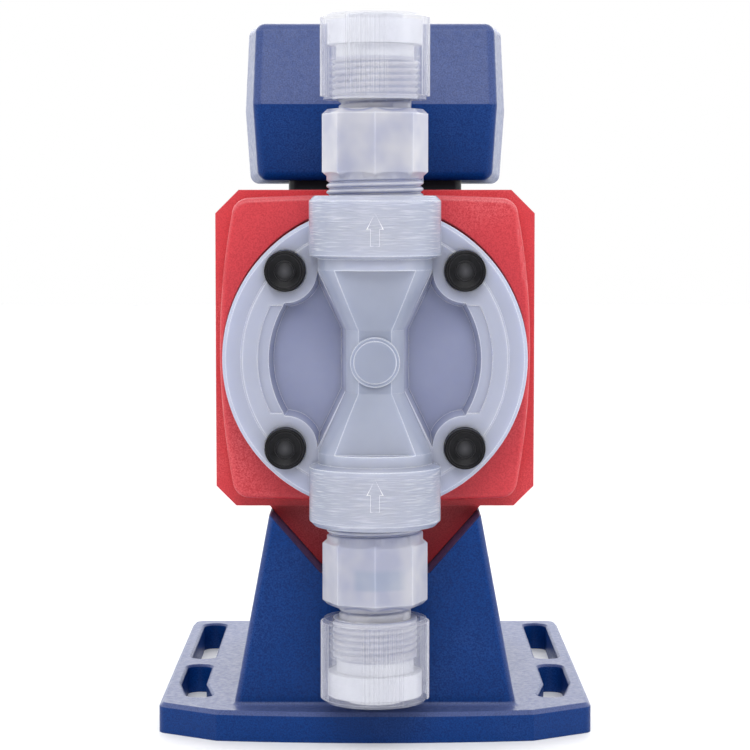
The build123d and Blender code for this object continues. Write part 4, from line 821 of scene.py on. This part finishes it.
def turned_caps(name):
    finish, tree, shader, where = start_finish(name, 0.34)
    x, _, z = xyz(tree, where)
    along = reckon(tree, "SUBTRACT", reckon(tree, "ABSOLUTE", x), bolt_x)
    across = reckon(tree, "SUBTRACT", reckon(tree, "ABSOLUTE", reckon(tree, "SUBTRACT", z, hub.z)), bolt_z)
    squares = reckon(
        tree, "ADD", reckon(tree, "MULTIPLY", along, along), reckon(tree, "MULTIPLY", across, across)
    )
    radius = reckon(tree, "SQRT", squares)
    rings = reckon(tree, "SINE", reckon(tree, "MULTIPLY", radius, TAU / ring_spacing))
    dust_and_sheen = noise_at(tree, where, 500, 3.0)
    body = tones(tree, dust_and_sheen, [(0.35, (0.003, 0.003, 0.004)), (0.75, (0.008, 0.008, 0.010))])
    # The hub is painted paler towards its middle: painted reflection of the turned face.
    hub_highlight = mixed(tree, scaled(tree, radius, 2.6 * mm, 0.2 * mm, 0.0, 0.6), body, (0.09, 0.09, 0.10))
    # Edges painted pale: painted highlight.
    edge_highlighted = mixed(tree, painted_edge_highlight(tree, 0.15 * mm, 0.5), hub_highlight, (0.10, 0.10, 0.11))
    tree.links.new(edge_highlighted, shader.inputs["Base Color"])
    shader.inputs["Specular IOR Level"].default_value = 0.2
    relief(tree, shader, 0.12 * mm, [(rings, 0.02 * mm, 0.7)])
    return finish


caps.data.materials.clear()
caps.data.materials.append(turned_caps("turned_black_caps"))
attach(caps, "pump_body")
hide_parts("bolt_caps")
print("cap finish:", caps.data.materials[0].name)

# %% [markdown]
# ## Flow arrows on the head
# An arrow on each collar shows which way the liquid flows. Its outline is drawn from one vertex with
# extrusions and filled, and a Wireframe modifier turns the sheet's border into a bar of even thickness.
# The bar is set into the front of the collar, so that its lines stand just proud of the curved wall.

# %% Set the arrows into the collars
arrow_line = 0.42 * mm
arrow_sink = 0.002 * mm
# The arrows' lines are near white: painted highlight for the glints along the lines.
arrow_plastic = satin("painted_highlight_line", (0.88, 0.89, 0.93), (0.96, 0.96, 0.98), 0.2, 900, 0.01)
arrow_points = ((-1.26, 0), (-1.26, 4.8), (-2.24, 4.8), (0, 9.3), (2.24, 4.8), (1.26, 4.8), (1.26, 0))


def flow_arrow(name, foot):
    front = low("pump_head").y
    first = arrow_points[0]
    depth = front + arrow_line / 2 + arrow_sink
    arrow = first_vertex(name, (first[0] * mm, depth, foot + first[1] * mm))
    for here, there in zip(arrow_points, arrow_points[1:] + arrow_points[:1]):
        step = ((there[0] - here[0]) * mm, 0, (there[1] - here[1]) * mm)
        bpy.ops.mesh.extrude_vertices_move(TRANSFORM_OT_translate={"value": step})
    bpy.ops.mesh.select_all(action="SELECT")
    bpy.ops.mesh.remove_doubles(threshold=0.01 * mm)
    bpy.ops.mesh.edge_face_add()
    bpy.ops.object.mode_set(mode="OBJECT")
    bpy.ops.object.modifier_add(type="WIREFRAME")
    arrow.modifiers[-1].thickness = arrow_line
    arrow.modifiers[-1].use_boundary = True
    bpy.ops.object.modifier_apply(modifier=arrow.modifiers[-1].name)
    arrow.data.materials.append(arrow_plastic)
    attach(arrow, "pump_body")
    print(name, "foot at z", round(foot / mm, 1), "mm, faces", len(arrow.data.polygons))


flow_arrow("upper_flow_arrow", high("pump_head").z - 14.2 * mm)
flow_arrow("lower_flow_arrow", low("pump_head").z + 5.9 * mm)

# %% [markdown]
# ## The back of the pump
# The stroke knob is set against a dial, and the operator panel carries keys and a display. Their marks
# are raised a little from the moulding, as pad printing is. Numbers begin as text, with a hair of depth,
# and become meshes before their place is applied, so that they ride and export like any other piece.

# %% Helpers: a mark's own plane, numbers and bars


def stand(right, up, out):
    return Matrix((right, up, out)).transposed().to_euler()


def number(body, size, place, turn, depth):
    deselect()
    bpy.ops.object.text_add(location=place, rotation=turn)
    mark = bpy.context.object
    mark.data.body = body
    mark.data.size = size
    mark.data.extrude = depth
    mark.data.align_x = "CENTER"
    mark.data.align_y = "CENTER"
    bpy.ops.object.convert(target="MESH")
    mark = bpy.context.object
    set_places(mark)
    return mark


def bar(width, length, place, turn, depth):
    deselect()
    bpy.ops.mesh.primitive_cube_add(size=1, location=place, rotation=turn)
    mark = bpy.context.object
    mark.scale = (width, length, 2 * depth)
    set_places(mark)
    bpy.ops.object.mode_set(mode="EDIT")
    bpy.ops.mesh.select_all(action="SELECT")
    bpy.ops.mesh.bevel(offset=depth / 2, segments=1, affect="EDGES")
    bpy.ops.object.mode_set(mode="OBJECT")
    return mark


def joined(marks, name, finish, body):
    deselect()
    for mark in marks:
        mark.select_set(True)
    bpy.context.view_layer.objects.active = marks[0]
    if len(marks) > 1:
        bpy.ops.object.join()
    piece = bpy.context.object
    piece.name = name
    piece.data.materials.clear()
    piece.data.materials.append(finish)
    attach(piece, body)
    print(name, "rides on", body, "with", len(piece.data.polygons), "faces")


# %% [markdown]
# The dial runs clockwise from 0 to 100 over the knob's 270 degrees. Seen from behind, right is -X, so a
# point at a clockwise angle from the top lies at minus the sine along X and at the cosine along Z.

# %% Dial and pointer
print_white = satin("pad_print_white", (0.70, 0.71, 0.72), (0.82, 0.83, 0.84), 0.5, 1600, 0.01)
from_behind = (Vector((-1, 0, 0)), Vector((0, 0, 1)), Vector((0, 1, 0)))
dial_sweep = math.radians(270)
print_depth = 0.08 * mm
tick_size = (0.6 * mm, 2.2 * mm)
tick_at = 22.0 * mm
numeral_height = 3.4 * mm
numeral_at = 25.6 * mm
pointer_size = (1.2 * mm, 8.0 * mm)
pointer_at = 14.0 * mm


def on_dial(share, radius, face_y):
    turn = dial_sweep * (share - 0.5)
    place = Vector((-math.sin(turn) * radius, face_y, hub.z + math.cos(turn) * radius))
    outward = Vector((-math.sin(turn), 0, math.cos(turn)))
    return place, stand(from_behind[2].cross(outward) * -1, outward, from_behind[2])


cover_back = high("drive_cover").y
knob_back = high("stroke_knob").y
marks = []
for step in range(11):
    place, turn = on_dial(step / 10, tick_at, cover_back + print_depth)
    marks.append(bar(*tick_size, place, turn, print_depth))
    if step % 2 == 0:
        place, turn = on_dial(step / 10, numeral_at, cover_back + print_depth)
        marks.append(number(str(10 * step), numeral_height, place, stand(*from_behind), print_depth))
joined(marks, "stroke_dial", print_white, "pump_body")
place, turn = on_dial(0, pointer_at, knob_back)
pointer = bar(*pointer_size, place, turn, print_depth)
joined([pointer], "knob_pointer", print_white, "stroke_knob")

# %% [markdown]
# The panel leans back, so its marks get a plane of their own: right is -X, out is the way the keys come
# out, and up is square to both. Each mark sits where the key's own face is, found from the key's mesh.

# %% Key symbols and display digits
panel_lean = math.radians(22.87)
panel_out = Vector((0, math.cos(panel_lean), math.sin(panel_lean)))
panel_up = Vector((0, -math.sin(panel_lean), math.cos(panel_lean)))
panel_stand = stand(Vector((-1, 0, 0)), panel_up, panel_out)
symbol_r = 2.1 * mm
digit_height = 10.0 * mm


def on_face(node):
    centre = middle(node)
    reach = max(point.co.dot(panel_out) for point in nodes[node].data.vertices)
    return centre + panel_out * (reach - centre.dot(panel_out))


def symbol(key, corners, spin):
    deselect()
    bpy.ops.mesh.primitive_circle_add(vertices=corners, radius=symbol_r, fill_type="NGON")
    mark = bpy.context.object
    mark.rotation_euler = (panel_stand.to_matrix() @ Matrix.Rotation(spin, 3, "Z")).to_euler()
    mark.location = on_face(key) - panel_out * print_depth
    set_places(mark)
    bpy.ops.object.mode_set(mode="EDIT")
    bpy.ops.mesh.select_all(action="SELECT")
    bpy.ops.mesh.bevel(offset=0.35 * mm, segments=3, affect="VERTICES")
    bpy.ops.mesh.select_all(action="SELECT")
    bpy.ops.mesh.extrude_region_move(TRANSFORM_OT_translate={"value": panel_out * 2 * print_depth})
    bpy.ops.mesh.select_all(action="SELECT")
    bpy.ops.mesh.normals_make_consistent(inside=False)
    bpy.ops.object.mode_set(mode="OBJECT")
    joined([mark], key + "_symbol", print_white, key)


symbol("start_key", 3, math.radians(-90))
symbol("stop_key", 4, math.radians(45))
symbol("up_key", 3, 0)
symbol("down_key", 3, math.radians(180))

display_ink = satin("display_ink", (0.008, 0.010, 0.012), (0.016, 0.019, 0.022), 0.3, 1200, 0.005)
digits_at = on_face("display_module") + panel_out * print_depth
digits = number("80", digit_height, digits_at, panel_stand, print_depth)
joined([digits], "display_digits", display_ink, "pump_body")

# %% [markdown]
# ## Screw drives
# The screws of the drive cover and of the control box have hexagon sockets. A six-sided cylinder is
# pushed into each head of a merged copy and taken out of it with a Boolean.

# %% Hexagon sockets


def socket_heads(node, name, head_r, across, depth):
    piece = copy_to_cut(node, name)
    face_y = high(node).y
    for x in (low(node).x + head_r, high(node).x - head_r):
        for z in (low(node).z + head_r, high(node).z - head_r):
            deselect()
            bpy.ops.mesh.primitive_cylinder_add(
                vertices=6, radius=across / math.sqrt(3), depth=2 * depth, location=(x, face_y, z),
                rotation=(math.radians(90), 0, 0),
            )
            tool = bpy.context.object
            set_places(tool)
            carve(piece, tool)
    soften(piece, 30)
    joined([piece], name, steel, "pump_body")
    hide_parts(node)


socket_heads("cover_screws", "cover_screws_driven", 3.5 * mm, 3.0 * mm, 1.6 * mm)
socket_heads("case_screws", "case_screws_driven", 2.8 * mm, 2.5 * mm, 1.2 * mm)

# %% [markdown]
# ## The return spring
# The coil draws the armature forward against a spring, whose front end rests in the yoke. A rigid spring
# would be run through by the armature; here a merged copy of it, with a mesh of its own, takes its place
# and rides on the pump body, still at its full length.

# %% Copy the return spring
spring = copy_to_cut("return_spring", "return_spring_pressed")
joined([spring], "return_spring_pressed", spring_wire, "pump_body")
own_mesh(spring)
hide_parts("return_spring")

# %% [markdown]
# ## Closing the scene
# The floor stays plain and pale, with only a faint cloud in its tone, so that nothing competes with the
# pump. The tent is brightest behind the pump, white above and beside it, and dark on the side of the
# lens: that keeps the dark mouldings deep, while their edges and tops still catch white light. The
# backdrop itself, as the lens sees it, is plain white from every side.

# %% Keep the floor plain and shade the tent
floor_finish, floor_tree, floor_shader, floor_where = start_finish("pale_floor", 0.6)
floor_cloud = noise_at(floor_tree, floor_where, 3, 2.0)
floor_tree.links.new(
    tones(floor_tree, floor_cloud, [(0.3, (0.78, 0.785, 0.80)), (0.7, (0.80, 0.805, 0.82))]),
    floor_shader.inputs["Base Color"],
)
floor_shader.inputs["Emission Color"].default_value = (1.0, 1.0, 1.0, 1)
floor_shader.inputs["Emission Strength"].default_value = 0.12
floor.data.materials.append(floor_finish)

tent = bpy.data.worlds.new("white_tent")
bpy.context.scene.world = tent
tent.use_nodes = True
sky = tent.node_tree
walls = sky.nodes["Background"]
walls.inputs["Color"].default_value = (1.0, 1.0, 1.0, 1)
along_pump = xyz(sky, sky.nodes.new("ShaderNodeTexCoord").outputs["Generated"])[1]
sky.links.new(scaled(sky, along_pump, -0.9, 0.9, 0.05, 1.9), walls.inputs["Strength"])
backdrop = sky.nodes.new("ShaderNodeBackground")
backdrop.inputs["Color"].default_value = (1.0, 1.0, 1.0, 1)
choose = sky.nodes.new("ShaderNodeMixShader")
sky.links.new(sky.nodes.new("ShaderNodeLightPath").outputs["Is Camera Ray"], choose.inputs[0])
sky.links.new(walls.outputs[0], choose.inputs[1])
sky.links.new(backdrop.outputs[0], choose.inputs[2])
sky.links.new(choose.outputs[0], sky.nodes["World Output"].inputs["Surface"])
print("floor finish:", floor_finish.name, "tent:", tent.name)
